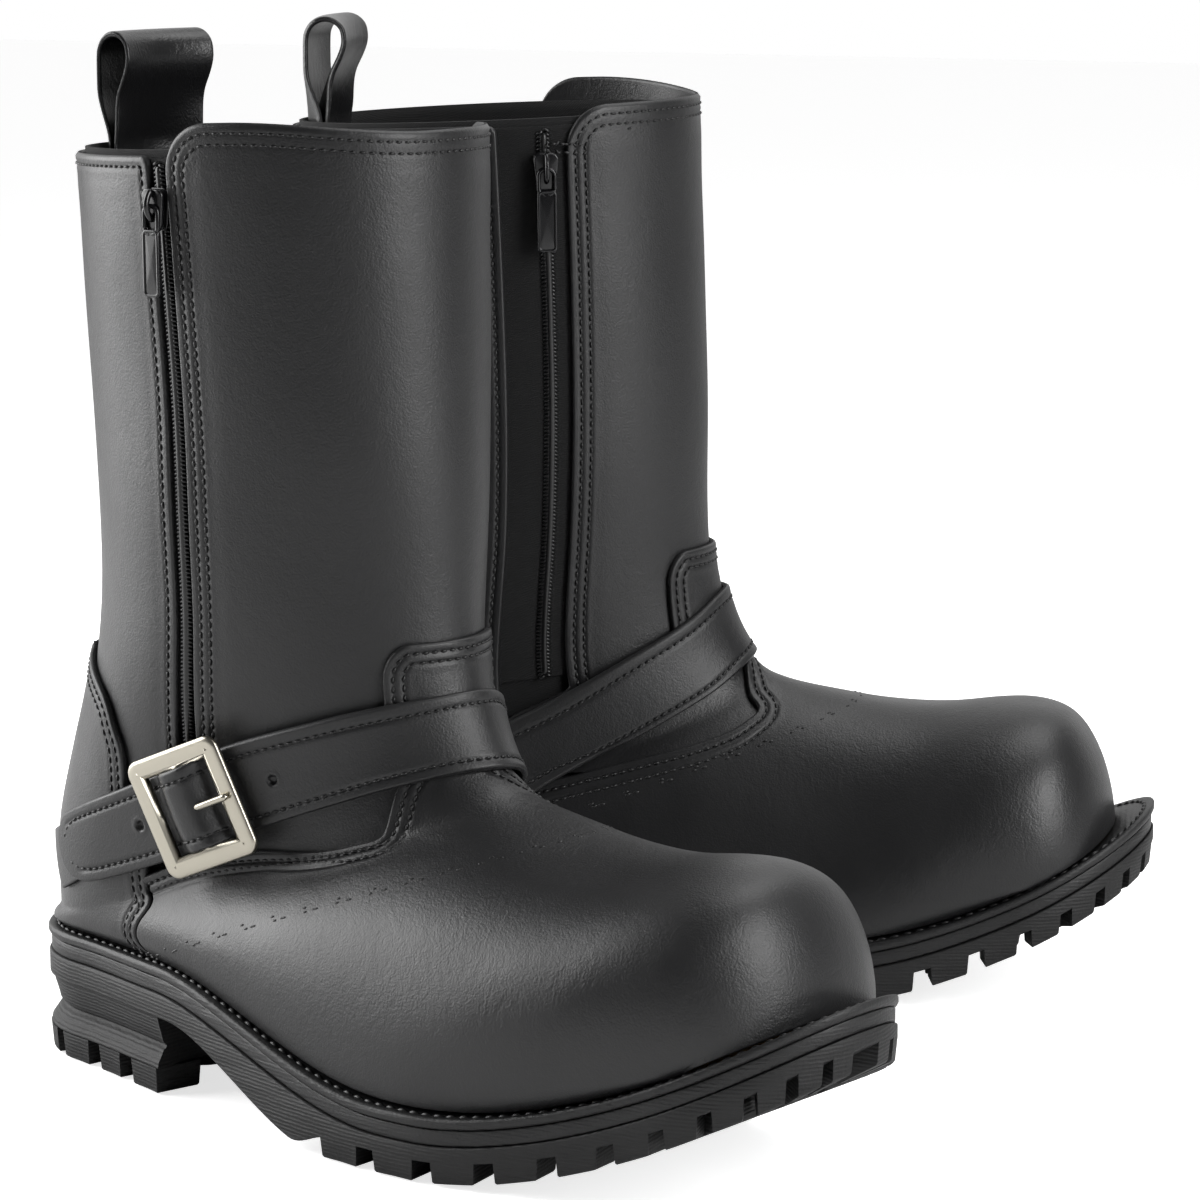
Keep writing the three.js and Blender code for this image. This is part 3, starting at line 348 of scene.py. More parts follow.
def resampled(values, step, points):
    """Values along a polyline of points, taken again at an even step in mm."""
    length = np.concatenate([[0], np.cumsum(np.linalg.norm(np.diff(points, axis=0), axis=1))])
    count = max(int(round(length[-1] / step)), 1)
    want = (np.arange(count) + 0.5) * length[-1] / count
    return [np.interp(want, length, v) for v in values]


def wrapped(t):
    """t taken round the back seam: past 1 it runs on from -1 on the outer side."""
    return np.where(t > 1, t - 2, t)


class Path:
    """A line on the upper, in s and t, with rows of stitches set in from it. The piece lies on the
    right of a line that goes up, or on its left where `left` is set. t may run past 1, round the
    back seam to the outer side."""

    def __init__(self, s, t, rows=(), left=False, fine=0.9):
        self.s, self.t = resampled([s, t], fine, skin(s, wrapped(t)))
        self.points = skin(self.s, wrapped(self.t))
        self.rows, self.sign = rows, 1 if left else -1

    def inset(self, d):
        """The same line moved d mm into the piece, found with the surface's two slopes."""
        s, t = self.s, self.t
        side = np.cross(skin_normal(s, wrapped(t)), np.gradient(self.points, axis=0))
        side *= self.sign * d / (np.linalg.norm(side, axis=1, keepdims=True) + 1e-9)
        js = (skin(s + 0.04, wrapped(t)) - skin(s - 0.04, wrapped(t))) / 0.08
        jt = (skin(s, wrapped(t + 0.004)) - skin(s, wrapped(t - 0.004))) / 0.008
        a, b, c = (js * js).sum(1), (js * jt).sum(1), (jt * jt).sum(1)
        p, q = (js * side).sum(1), (jt * side).sum(1)
        det = a * c - b * b + 1e-9
        return s + (p * c - q * b) / det, wrapped(t + (a * q - b * p) / det)


def relief(points, paths, thickness, edge):
    """Height of a sewn piece's face: rounded down at its edges, with a groove at each row of
    stitches and the leather swelling a little between them."""
    height = np.full(points.shape[:-1], float(thickness))
    nearest = np.full(points.shape[:-1], 1e9)
    for path in paths:
        d = distance(points, path.points)
        nearest = np.minimum(nearest, d)
        for row in path.rows:
            height -= 0.42 * np.exp(-((d - row) / 0.75) ** 2)
        if path.rows:
            height -= 0.12 * np.exp(-((d - max(path.rows) - 3) / 2.5) ** 2)
    roll = np.clip(1 - nearest / edge, 0, 1)
    return height - edge * (1 - np.sqrt(np.clip(1 - roll ** 2, 0, 1)))


def capsule(sides=6):
    """A stitch: a short thread, thick in the middle and dipping at both ends."""
    along = np.array([-1, -0.82, -0.3, 0.3, 0.82, 1.0])
    radius = np.array([0, 0.62, 1, 1, 0.62, 0])
    drop = -0.9 * np.abs(along) ** 3
    a = 2 * math.pi * np.arange(sides) / sides
    verts, faces = [], []
    for x, r, z in zip(along, radius, drop):
        if r == 0:
            verts.append([[x, 0, z]])
        else:
            verts.append(np.stack([0 * a + x, r * np.cos(a), r * np.sin(a) + z], 1))
    verts = np.concatenate(verts)
    for k in range(sides):
        n = (k + 1) % sides
        faces.append([0, 1 + n, 1 + k, 1 + k])
        for r in range(3):
            faces.append([1 + r * sides + k, 1 + r * sides + n, 1 + (r + 1) * sides + n,
                          1 + (r + 1) * sides + k])
        faces.append([1 + 3 * sides + k, 1 + 3 * sides + n, 1 + 4 * sides, 1 + 4 * sides])
    return verts, np.array(faces)


def copies(template, centres, along, up, sizes):
    """Many turned and sized copies of one small shape, as a single mesh."""
    verts, faces = template
    along = along / (np.linalg.norm(along, axis=1, keepdims=True) + 1e-9)
    across = np.cross(up, along)
    across /= np.linalg.norm(across, axis=1, keepdims=True) + 1e-9
    up = np.cross(along, across)
    local = verts * np.asarray(sizes)
    world = (centres[:, None] + local[None, :, :1] * along[:, None]
             + local[None, :, 1:2] * across[:, None] + local[None, :, 2:] * up[:, None])
    n = len(verts)
    all_faces = (faces[None] + (np.arange(len(centres)) * n)[:, None, None]).reshape(-1, 4)
    return world.reshape(-1, 3), all_faces


def stitches(path, height, pitch=3.0, length=2.35, width=0.42):
    """The threads of every row of a path, on a face `height` above the skin."""
    parts = []
    for row in path.rows:
        s, t = path.inset(row)
        line = skin(s, t, height)
        s, t = resampled([s, t], pitch, line)
        centre = skin(s, t, height)
        tangent = np.gradient(centre, axis=0)
        normal = skin_normal(s, t)
        parts.append(copies(capsule(), centre, tangent, normal, [length / 2, width, width]))
    return parts


def joined(parts):
    """One mesh from several: points, quads and a material number for each quad."""
    verts, faces, marks, start = [], [], [], 0
    for part in parts:
        v, f = part[:2]
        verts.append(v)
        faces.append(f + start)
        marks.append(part[2] if len(part) > 2 else np.zeros(len(f), int))
        start += len(v)
    return np.concatenate(verts), np.concatenate(faces), np.concatenate(marks)


HANDS = {"right": -1, "left": 1}


def to_world(points, hand):
    """Right-boot millimetres to world metres: mirrored for the left boot, turned out by TURN_OUT
    and set beside the middle."""
    side = HANDS[hand]
    x, y, z = points[:, 0], points[:, 1] * (-side), points[:, 2]
    a = math.radians(-90 + side * TURN_OUT)
    return np.stack([x * math.cos(a) - y * math.sin(a) + side * HEEL_GAP / 2,
                     x * math.sin(a) + y * math.cos(a) + PAIR_Y, z], 1) / 1000


def piece(name, parts, materials, body=None, nodes=(), crease=False):
    """Makes one piece on both boots from mesh parts, and lets it ride on its body."""
    verts, faces, marks = joined(parts)
    faces = faces.copy()
    for hand in HANDS:
        mesh = bpy.data.meshes.new(f"{hand}_{name}")
        use = faces if hand == "right" else faces[:, ::-1]
        # A triangle is stored as a quad with one corner twice; the corner is dropped here.
        rolled = np.roll(use, -1, 1)
        keep = use != rolled
        counts = keep.sum(1)
        loops = use[keep]
        mesh.vertices.add(len(verts))
        mesh.vertices.foreach_set("co", to_world(verts, hand).astype(np.float32).ravel())
        mesh.loops.add(len(loops))
        mesh.loops.foreach_set("vertex_index", loops.astype(np.int32))
        mesh.polygons.add(len(use))
        starts = np.concatenate([[0], np.cumsum(counts)[:-1]]).astype(np.int32)
        mesh.polygons.foreach_set("loop_start", starts)
        mesh.polygons.foreach_set("loop_total", counts.astype(np.int32))
        mesh.polygons.foreach_set("material_index", marks.astype(np.int32))
        mesh.update(calc_edges=True)
        mesh.validate()
        mesh.polygons.foreach_set("use_smooth", [True] * len(mesh.polygons))
        if crease:
            mesh.set_sharp_from_angle(angle=math.radians(crease))
        for material in materials:
            mesh.materials.append(material)
        obj = bpy.data.objects.new(f"{hand}_{name}_look", mesh)
        bpy.context.scene.collection.objects.link(obj)
        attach(obj, f"{hand}_{body}_body" if body else "pair")
        if nodes:
            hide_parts(*[f"{hand}_{node}" for node in nodes])


# ------------------------------------------------------------------ materials

def colour(code):
    """sRGB hex to linear RGBA."""
    rgb = [int(code[i:i + 2], 16) / 255 for i in (1, 3, 5)]
    return [c / 12.92 if c <= 0.04045 else ((c + 0.055) / 1.055) ** 2.4 for c in rgb] + [1]


def surface(name, base, roughness, metallic=0.0):
    """A material with its shader's own colour, roughness and metallic set."""
    material = bpy.data.materials.new(name)
    material.use_nodes = True
    tree = material.node_tree
    shader = tree.nodes["Principled BSDF"]
    shader.inputs["Base Color"].default_value = colour(base)
    shader.inputs["Roughness"].default_value = roughness
    shader.inputs["Metallic"].default_value = metallic
    return material, tree, shader


def add(tree, kind, links=(), **values):
    """Adds a node, sets its inputs and properties by name, and links given sockets to it."""
    node = tree.nodes.new(kind)
    for key, value in values.items():
        if hasattr(node, key):
            setattr(node, key, value)
        else:
            node.inputs[key].default_value = value
    for socket, source in dict(links).items():
        tree.links.new(source, node.inputs[socket])
    return node


def mapped(tree, scale=(1000, 1000, 1000)):
    """Object coordinates times a scale; 1000 turns metres into millimetres."""
    place = add(tree, "ShaderNodeTexCoord")
    return add(tree, "ShaderNodeMapping", {"Vector": place.outputs["Object"]}, Scale=scale)


def leather(name, base="#19191a", rough=0.4, grain=0.1, fold=0.13):
    """Smooth cowhide. Fine pebbled grain, short faint wrinkles and a slow change in gloss give
    the soft, slightly mottled sheen of finished leather."""
    material, tree, shader = surface(name, base, rough)
    shader.inputs["Specular IOR Level"].default_value = 0.5
    even = mapped(tree)
    warp = add(tree, "ShaderNodeTexNoise", {"Vector": even.outputs[0]}, Scale=0.35, Detail=3.0)
    bent = add(tree, "ShaderNodeMixRGB",
               {"Color1": even.outputs[0], "Color2": warp.outputs["Color"]},
               blend_type="ADD", Fac=1.0)
    pebble = add(tree, "ShaderNodeTexVoronoi", {"Vector": bent.outputs[0]}, Scale=1.35,
                 feature="F1")
    pores = add(tree, "ShaderNodeTexNoise", {"Vector": even.outputs[0]}, Scale=1.6, Detail=5.0,
                Roughness=0.62)
    stretched = mapped(tree, (190, 190, 150))
    wrinkle = add(tree, "ShaderNodeTexNoise", {"Vector": stretched.outputs[0]}, Scale=1.0,
                  Detail=6.0, Roughness=0.55, Distortion=1.4)
    slow = add(tree, "ShaderNodeTexNoise", {"Vector": mapped(tree, (28, 28, 20)).outputs[0]},
               Scale=1.0, Detail=3.0)
    bump1 = add(tree, "ShaderNodeBump", {"Height": pebble.outputs["Distance"]}, invert=True,
                Strength=grain, Distance=0.0006)
    bump2 = add(tree, "ShaderNodeBump",
                {"Height": pores.outputs["Fac"], "Normal": bump1.outputs[0]},
                Strength=0.22, Distance=0.0004)
    bump3 = add(tree, "ShaderNodeBump",
                {"Height": wrinkle.outputs["Fac"], "Normal": bump2.outputs[0]},
                Strength=fold, Distance=0.0011)
    tree.links.new(bump3.outputs[0], shader.inputs["Normal"])
    gloss = add(tree, "ShaderNodeMapRange", {"Value": slow.outputs["Fac"]},
                **{"From Min": 0.3, "From Max": 0.7,
                   "To Min": rough - 0.05, "To Max": rough + 0.07})
    tree.links.new(gloss.outputs[0], shader.inputs["Roughness"])
    return material


def cut_edge():
    """Cut and inked edge of a hide: matt, fibrous and a little lighter than the grain side."""
    material, tree, shader = surface("inked cut edge", "#1d1d1f", 0.85)
    fuzz = add(tree, "ShaderNodeTexNoise", {"Vector": mapped(tree).outputs[0]},
               Scale=1.9, Detail=4.0)
    bump = add(tree, "ShaderNodeBump", {"Height": fuzz.outputs["Fac"]}, Strength=0.9,
               Distance=0.0012)
    tree.links.new(bump.outputs[0], shader.inputs["Normal"])
    return material


def rubber(name, base, ribs, rough):
    """Moulded rubber sole. Fine level ribs left by the trimming wheel, over a dull, slightly
    dusty face."""
    material, tree, shader = surface(name, base, rough)
    place = mapped(tree)
    drift = add(tree, "ShaderNodeTexNoise", {"Vector": mapped(tree, (30, 30, 260)).outputs[0]},
                Scale=1.0, Detail=5.0, Roughness=0.6)
    lines = add(tree, "ShaderNodeTexWave", {"Vector": place.outputs[0]}, bands_direction="Z",
                Scale=0.26, Distortion=1.6, Detail=3.0)
    fine = add(tree, "ShaderNodeTexNoise", {"Vector": place.outputs[0]}, Scale=0.9, Detail=4.0)
    bump1 = add(tree, "ShaderNodeBump", {"Height": lines.outputs["Fac"]}, Strength=ribs,
                Distance=0.0006)
    bump2 = add(tree, "ShaderNodeBump",
                {"Height": drift.outputs["Fac"], "Normal": bump1.outputs[0]},
                Strength=0.5, Distance=0.0012)
    bump3 = add(tree, "ShaderNodeBump", {"Height": fine.outputs["Fac"], "Normal": bump2.outputs[0]},
                Strength=0.25, Distance=0.0006)
    tree.links.new(bump3.outputs[0], shader.inputs["Normal"])
    return material


def cloth(name, base, scale, strength=0.6):
    """Woven textile: two crossed sets of fine threads."""
    material, tree, shader = surface(name, base, 0.9)
    place = mapped(tree)
    a = add(tree, "ShaderNodeTexWave", {"Vector": place.outputs[0]}, Scale=scale,
            bands_direction="Z")
    b = add(tree, "ShaderNodeTexWave", {"Vector": place.outputs[0]}, Scale=scale,
            bands_direction="DIAGONAL")
    both = add(tree, "ShaderNodeMath", {0: a.outputs["Fac"], 1: b.outputs["Fac"]},
               operation="MULTIPLY")
    bump = add(tree, "ShaderNodeBump", {"Height": both.outputs[0]}, Strength=strength,
               Distance=0.0004)
    tree.links.new(bump.outputs[0], shader.inputs["Normal"])
    return material


def metal(name, base, rough):
    """Plated metal with faint polishing marks, so that its highlights are not perfectly even."""
    material, tree, shader = surface(name, base, rough, 1.0)
    marks = add(tree, "ShaderNodeTexNoise", {"Vector": mapped(tree, (1500, 300, 300)).outputs[0]},
                Scale=1.0, Detail=3.0)
    bump = add(tree, "ShaderNodeBump", {"Height": marks.outputs["Fac"]}, Strength=0.12,
               Distance=0.0002)
    tree.links.new(bump.outputs[0], shader.inputs["Normal"])
    return material


UPPER = leather("black cowhide upper")
STRAP = leather("black strap leather", base="#1b1b1c", rough=0.42, fold=0.1)
LOOP = leather("pull loop leather", base="#141415", rough=0.34, fold=0.2)
CUT = cut_edge()
THREAD = surface("waxed black thread", "#0b0b0c", 0.45)[0]
RUBBER = rubber("lugged outsole rubber", "#0b0b0c", 0.25, 0.6)
BAND = rubber("heel block rubber", "#0f0f10", 0.32, 0.66)
WELT = rubber("black welt", "#0e0e0f", 0.1, 0.5)
LINING = cloth("lining textile", "#0c0c0d", 0.7)
TAPE = cloth("zip tape", "#0a0a0b", 0.9)
COIL = surface("nylon zip coil", "#0d0d0e", 0.3)[0]
ENAMEL = surface("black enamelled metal", "#0e0e10", 0.22)[0]
NICKEL = metal("satin nickel", "#b3aea1", 0.3)


# ------------------------------------------------------------------ pieces of the upper

OUT_FRONT, OUT_REAR = 0.47, 0.505
IN_FRONT, IN_REAR = 0.335, 0.45
SHAFT_END = 5.9
MM_S = 1 / 50.0          # one millimetre as a share of s, on the shaft
MM_T = 1 / 190.0         # one millimetre as a share of t, on the shaft
COVER = 0.5 + LEATHER    # face of a covering piece, above the shaft panels' face
COUNTER_TOP, COUNTER_END = 3.7, 9.5
counter_edge = curve([COUNTER_TOP, 4.05, 4.65, 5.5, 7, 8, 8.75, COUNTER_END],
                     [.84, .71, .633, .61, .61, .73, .87, 1])
vamp_top_outer = curve([0, .11, .155, .2, .26, .387, .5, .62],
                       [5.0, 5.1, 5.8, 6.87, 7.08, 6.68, 6.6, 6.8])
vamp_top_inner = curve([0, .06, .1, .183, .275, .37, .49, .62],
                       [5.2, 6.3, 7.4, 8.2, 8.39, 8.2, 7.9, 7.6])
thread = []              # every stitch of the upper, gathered piece by piece


def clustered(n, pull=0.6):
    """n values from 0 to 1, closer together near both ends."""
    v = np.linspace(0, 1, n)
    return (1 - pull) * v + pull * (1 - np.cos(math.pi * v)) / 2


def shaft_panel(front):
    """Front or rear panel of the shaft: the skin from one zip round to the other, thickened, with
    rounded top corners, a rolled edge and grooves under the stitch rows. The front panel stands
    higher beside the zips, and runs on under the strap down to the vamp."""
    if front:
        low, high, radius, rows = -OUT_FRONT, IN_FRONT, 15.0, WIDE_ROWS
        level = lambda t: -0.09 * smooth(0.04, 0.36, -t)
        reach = lambda s: smooth(5.4, SHAFT_END, s) * (IN_REAR - 0.004 - IN_FRONT)
        bottom = lambda t: 7.3 + 1.3 * smooth(-0.05, 0.1, t)
    else:
        low, high, radius, rows = IN_REAR, 2 - OUT_REAR, 3.0, [3.4]
        level = lambda t: 0.1 + 0 * t
        reach = lambda s: 0 * s
        bottom = lambda t: SHAFT_END + 0 * t

    def top(t):
        gap = np.minimum(t - low, high - t) / MM_T / radius
        return level(t) + radius * MM_S * (1 - np.sqrt(1 - np.clip(1 - gap, 0, 1) ** 2))

    v = clustered(240, 0.72)[None]
    u = np.linspace(0, 1, 230)[:, None]
    across = low + (high - low) * v
    first = top(across)
    s = first + (bottom(across) - first) * (0.75 * u + 0.25 * u * u)
    t = low + (high + reach(s) - low) * v
    a = 1 - np.cos(np.linspace(0, math.pi / 2, 24))
    edge_t = np.concatenate([low + radius * MM_T * a, np.linspace(low, high, 300)[20:-20],
                             high - radius * MM_T * a[::-1]])
    edge_t = np.unique(edge_t)
    side = np.linspace(SHAFT_END, top(np.array([low]))[0], 260)[:-1]
    path = Path(np.concatenate([side, top(edge_t), side[::-1]]),
                np.concatenate([0 * side + low, edge_t, high + reach(side[::-1])]), rows)
    sunk = 0.9 * smooth(-0.22, -0.08, s - bottom(t)) if front else 0
    thread.extend(stitches(path, -THREAD_SINK))
    t = wrapped(t)
    height = relief(skin(s, t), [path], 0.0, EDGE_ROLL) - sunk
    return [shell([skin(s, t, height)], [skin(s, t, -LEATHER)])]


piece("front_panel", shaft_panel(True), [UPPER, CUT], nodes=["front_panel"])
piece("rear_panel", shaft_panel(False), [UPPER, CUT], nodes=["rear_panel"])


def counter():
    """Counter cover: wraps the heel from front edge to front edge, in two grids that meet at the
    back seam and part along the heel's edge below it."""
    s = np.linspace(COUNTER_TOP, COUNTER_END, 170)
    w = clustered(96, 0.5)
    halves, paths = [], []
    es = np.linspace(COUNTER_END, COUNTER_TOP + 0.02, 220)
    back = 1 - np.linspace(0, 1, 60) * (1 - counter_edge(COUNTER_TOP))
    for side in (1, -1):
        t = side * (1 - (1 - counter_edge(s))[:, None] * w[None])
        halves.append((s[:, None] + 0 * t, t))
        path = Path(es, side * counter_edge(es), CLOSE_ROWS, side < 0)
        thread.extend(stitches(path, COVER - THREAD_SINK))
        paths += [path, Path(np.full(60, COUNTER_TOP), side * back)]
    tops = [skin(*at, relief(skin(*at), paths, COVER, EDGE_ROLL)) for at in halves]
    return [shell(tops, [skin(*at, UNDERSIDE) for at in halves])]


piece("counter_cover", counter(), [UPPER, CUT], nodes=["counter_cover"])


def vamp():
    """Vamp: from its curved top edge forward and down to the welt, and a rounded tab of the same
    hide that shows above the strap."""
    rows, columns, last, gap = 240, 420, 18, 0.004
    top_edge = lambda t: np.where(t > 0, vamp_top_inner(np.abs(t)), vamp_top_outer(np.abs(t)))
    v = np.linspace(-1, 1, columns)
    v = np.sin(v * math.pi / 2) * 0.35 + v * 0.65
    u = np.linspace(0, 1, rows)
    u = 0.6 * u + 0.4 * u * u
    # The grid's sides follow the counter cover, whose edge depends on s, while s starts at the
    # top edge, which depends on t. Both are settled by repetition.
    s = np.full((rows, columns), 9.0)
    for _ in range(60):
        limit = np.where(s < COUNTER_END, counter_edge(np.maximum(s, 7)) - gap, 1.0)
        t = v[None] * np.minimum(limit, 1.0)
        top = top_edge(t)
        s = 0.5 * s + 0.5 * (top + (last - top) * u[:, None])
    et = np.linspace(-0.606, 0.7, 500)
    es = top_edge(et)
    keep = np.abs(et) < counter_edge(np.maximum(es, 7)) - gap / 2
    path = Path(es[keep], et[keep], WIDE_ROWS)
    ls = np.linspace(6.9, 9.4, 80)
    sides = [Path(ls, side * (counter_edge(ls) - gap)) for side in (1, -1)]
    thread.extend(stitches(path, COVER - THREAD_SINK))
    height = relief(skin(s, t), [path] + sides, COVER, EDGE_ROLL)
    main = shell([skin(s, t, height)], [skin(s, t, UNDERSIDE)])
    # The tab above the strap: a strip with its two upper corners rounded by radius and round_s.
    half, low, high, radius, round_s = 0.142, 3.45, 5.3, 0.045, 0.42
    tv = half * (2 * clustered(110, 0.7) - 1)
    gap = np.clip(1 - (half - np.abs(tv)) / radius, 0, 1)
    first = low + round_s * (1 - np.sqrt(1 - gap ** 2))
    us = np.linspace(0, 1, 110)[:, None]
    ts, tt = first[None] + (high - first)[None] * us, tv[None] + 0 * us
    a = np.linspace(0, math.pi / 2, 14)
    line = np.linspace(high, low + round_s, 80)
    ps = np.concatenate([line[:-1], low + round_s * (1 - np.sin(a)), np.full(60, low),
                         low + round_s * (1 - np.cos(a)), line[::-1][1:]])
    pt = np.concatenate([np.full(79, -half), -half + radius * (1 - np.cos(a)),
                         np.linspace(-half + radius, half - radius, 62)[1:-1],
                         half - radius * (1 - np.sin(a)), np.full(79, half)])
    tab = Path(ps, pt, CLOSE_ROWS)
    thread.extend(stitches(tab, COVER - THREAD_SINK))
    tab_height = relief(skin(ts, tt), [tab], COVER, EDGE_ROLL)
    return [main, shell([skin(ts, tt, tab_height)], [skin(ts, tt, UNDERSIDE)])]


piece("vamp", vamp(), [UPPER, CUT], nodes=["vamp"])


def backstay():
    """Narrow strip over the back seam, sewn along both sides."""
    half, first, last = 0.046, 0.22, 3.66
    s = np.linspace(first, last, 220)
    w = np.linspace(-half, half, 22)
    ss, t = s[:, None] + 0 * w[None], wrapped(1 + w[None] + 0 * s[:, None])
    es = np.linspace(last, first, 300)
    edges = [Path(es, 1 + k * half + 0 * es, [2.2], k > 0) for k in (-1, 1)]
    for edge in edges:
        thread.extend(stitches(edge, COVER - THREAD_SINK))
    height = relief(skin(ss, t), edges, COVER, 0.8)
    return [shell([skin(ss, t, height)], [skin(ss, t, 0.2)])]


piece("backstay", backstay(), [UPPER, CUT], nodes=["backstay"])


def lining():
    """Lining: the skin set in behind the leather, from the rim to the toe."""
    s = np.concatenate([np.linspace(0.07, 6, 90), np.linspace(6.1, 18, 80)])
    t = np.linspace(-1, 1, 161)
    ss, tt = s[:, None] + 0 * t[None], t[None] + 0 * s[:, None]
    return [shell([skin(ss, tt, LINING_FACE)], [skin(ss, tt, LINING_BACK)])]


piece("lining", lining(), [LINING, LINING], nodes=["lining"])

# ------------------------------------------------------------------ strap

strap_top = curve([-.86, -.742, -.709, -.631, -.545, -.387, -.28, -.197, -.085, .04, .115, .236,
                   .346, .428, .52, .6],
                  [6.05, 5.8, 5.7, 5.45, 5.18, 4.68, 4.44, 4.28, 4.16, 4.2, 4.5, 4.98, 5.44, 5.75,
                   6.05, 6.4])
strap_low = curve([-.86, -.742, -.718, -.65, -.571, -.374, -.257, -.146, -.041, .04, .14, .257,
                   .396, .519, .6],
                  [7.0, 6.8, 6.75, 6.7, 6.62, 6.21, 5.93, 5.7, 5.62, 5.8, 6.38, 6.97, 7.63, 8.09,
                   8.4])
STRAP_TIP, STRAP_END, BAR = -0.748, 0.6, -0.456
HOLES = (-0.327, -0.408, -0.566)
HALF_WIDTH = 0.485            # of the strap, as a share of the way from its top to its lower edge
STRAP_ROW = 3.9               # stitch row, in mm from the strap's edge
ROUND = 225.0                 # mm along the strap for one unit of t
STRAP_LOW = COVER + 0.5
OVER_CHAPE = STRAP_LOW + CHAPE_THICKNESS + 0.5
BAR_RADIUS, BUCKLE_UP, BUCKLE_THICK = 1.2, 7.6, 2.4
PRONG_RADIUS = 1.15
OVER_BAR = BUCKLE_UP + BUCKLE_THICK + PLAY + CHAPE_THICKNESS + 0.5


def strap_point(t, q, height):
    """Point of the strap's face: q from its top edge (0) to its lower edge (1)."""
    turned = t + 0.037 * (q - 0.5)
    return skin(strap_top(turned) + (strap_low(turned) - strap_top(turned)) * q, turned, height)


def strap_rise(t):
    """Height of the strap's underside along it: flat, and over the buckle's centre bar."""
    base = np.where(t < BAR - 0.052, OVER_CHAPE, STRAP_LOW)
    side = np.where(t < BAR, OVER_CHAPE, STRAP_LOW)
    bump = 1 - smooth(0.015, 0.052, np.abs(t - BAR))
    return np.where(bump > 0, side + (OVER_BAR - side) * bump, base)


def tip(from_tip):
    """Share of the strap's half width left near its round tip."""
    return np.sqrt(np.clip(1 - (1 - np.clip(from_tip / 0.05, 0, 1)) ** 2.6, 0, 1))


def strap():
    """Instep strap: a strip across the skin with a round tip, sewn STRAP_ROW in from each edge, and
    punched holes as round pits."""
    share = np.linspace(0, 1, 560)
    t = STRAP_TIP + (STRAP_END - STRAP_TIP) * (0.85 * share + 0.15 * share ** 2)
    half = HALF_WIDTH * np.maximum(tip(t - STRAP_TIP), 1e-3)
    q = 0.5 + half[:, None] * np.linspace(-1, 1, 54)[None]
    tt = t[:, None] + 0 * q
    window = np.hanning(21)
    ease = np.convolve(np.pad(strap_rise(t), 9, mode="edge"), window[1:-1] / window.sum(), "valid")
    low = np.maximum(ease, 0)[:, None] + 0 * q
    side = [strap_point(t, 0.5 + k * HALF_WIDTH + 0 * t, 5) for k in (1, -1)]
    width = np.linalg.norm(side[0] - side[1], axis=1)
    from_edge = (half[:, None] - np.abs(q - 0.5)) * width[:, None] / (2 * HALF_WIDTH)
    from_tip = (t - STRAP_TIP)[:, None] * ROUND
    d = np.minimum(from_edge, np.where(from_tip < 12, from_edge * 0.9 + 0.1 * from_tip, 99))
    top = np.full_like(q, STRAP_THICKNESS)
    top -= 0.45 * np.exp(-((from_edge - STRAP_ROW) / 0.8) ** 2) * smooth(6, 10, from_tip)
    roll = np.clip(1 - d / EDGE_ROLL, 0, 1)
    top -= EDGE_ROLL * (1 - np.sqrt(np.clip(1 - roll ** 2, 0, 1)))
    face = strap_point(tt, q, low + STRAP_THICKNESS)
    for hole in HOLES:
        height = np.interp([hole], t, ease) + STRAP_THICKNESS
        centre = strap_point(np.array([hole]), np.array([0.5]), height)[0]
        away = np.linalg.norm(face - centre, axis=2)
        top -= 1.5 * (1 - smooth(1.1, 1.75, away)) - 0.18 * np.exp(-((away - 2.4) / 0.7) ** 2)
    for sign in (-1, 1):
        rt = np.linspace(STRAP_TIP + 0.022, STRAP_END - 0.01, 700)
        inset = HALF_WIDTH - STRAP_ROW / np.interp(rt, t, width) * 2 * HALF_WIDTH
        rq = 0.5 + sign * inset * tip(rt - STRAP_TIP - 0.018)
        rh = np.interp(rt, t, ease) + STRAP_THICKNESS - 0.12
        rt, rq, rh = resampled([rt, rq, rh], 3.0, strap_point(rt, rq, rh))
        centre = strap_point(rt, rq, rh)
        normal = strap_point(rt, rq, rh + 1) - centre
        thread.append(copies(capsule(), centre, np.gradient(centre, axis=0), normal,
                             [1.2, .42, .42]))
    return [shell([strap_point(tt, q, low + top)], [strap_point(tt, q, low)])]


piece("strap", strap(), [STRAP, CUT], nodes=["strap"])


def strip_solid(flat, thickness, q0, q1, m=26):
    """A strip that follows points (mm along, height), thick across that line."""
    tangent = np.gradient(flat, axis=0)
    tangent /= np.linalg.norm(tangent, axis=1, keepdims=True)
    across = np.stack([-tangent[:, 1], tangent[:, 0]], 1) * thickness / 2
    q = np.linspace(q0, q1, m)[None]
    faces = []
    for sign in (1, -1):
        p = flat + sign * across
        faces.append(strap_point(p[:, :1] / ROUND + 0 * q, q + 0 * p[:, :1], p[:, 1:] + 0 * q))
    return shell([faces[0]], [faces[1]])


def chape():
    """Chape: a short strip that holds the buckle, folded back round its centre bar."""
    low = STRAP_LOW + CHAPE_THICKNESS / 2
    mid = BUCKLE_UP + BAR_RADIUS
    turn = BAR_RADIUS + PLAY + CHAPE_THICKNESS / 2
    t = np.linspace(-0.80, BAR - 0.006, 60)
    h = low + (mid - turn - low) * smooth(BAR - 0.045, BAR - 0.008, t)
    a = np.linspace(-math.pi / 2, math.pi / 2, 16)
    xs = np.concatenate([t * ROUND, BAR * ROUND + np.cos(a) * turn, [(BAR - 0.012) * ROUND]])
    hs = np.concatenate([h, mid + turn * np.sin(a), [mid + turn]])
    return [strip_solid(np.stack([xs, hs], 1), CHAPE_THICKNESS, 0.1, 0.9)]


piece("chape", chape(), [STRAP, CUT], nodes=["chape"])


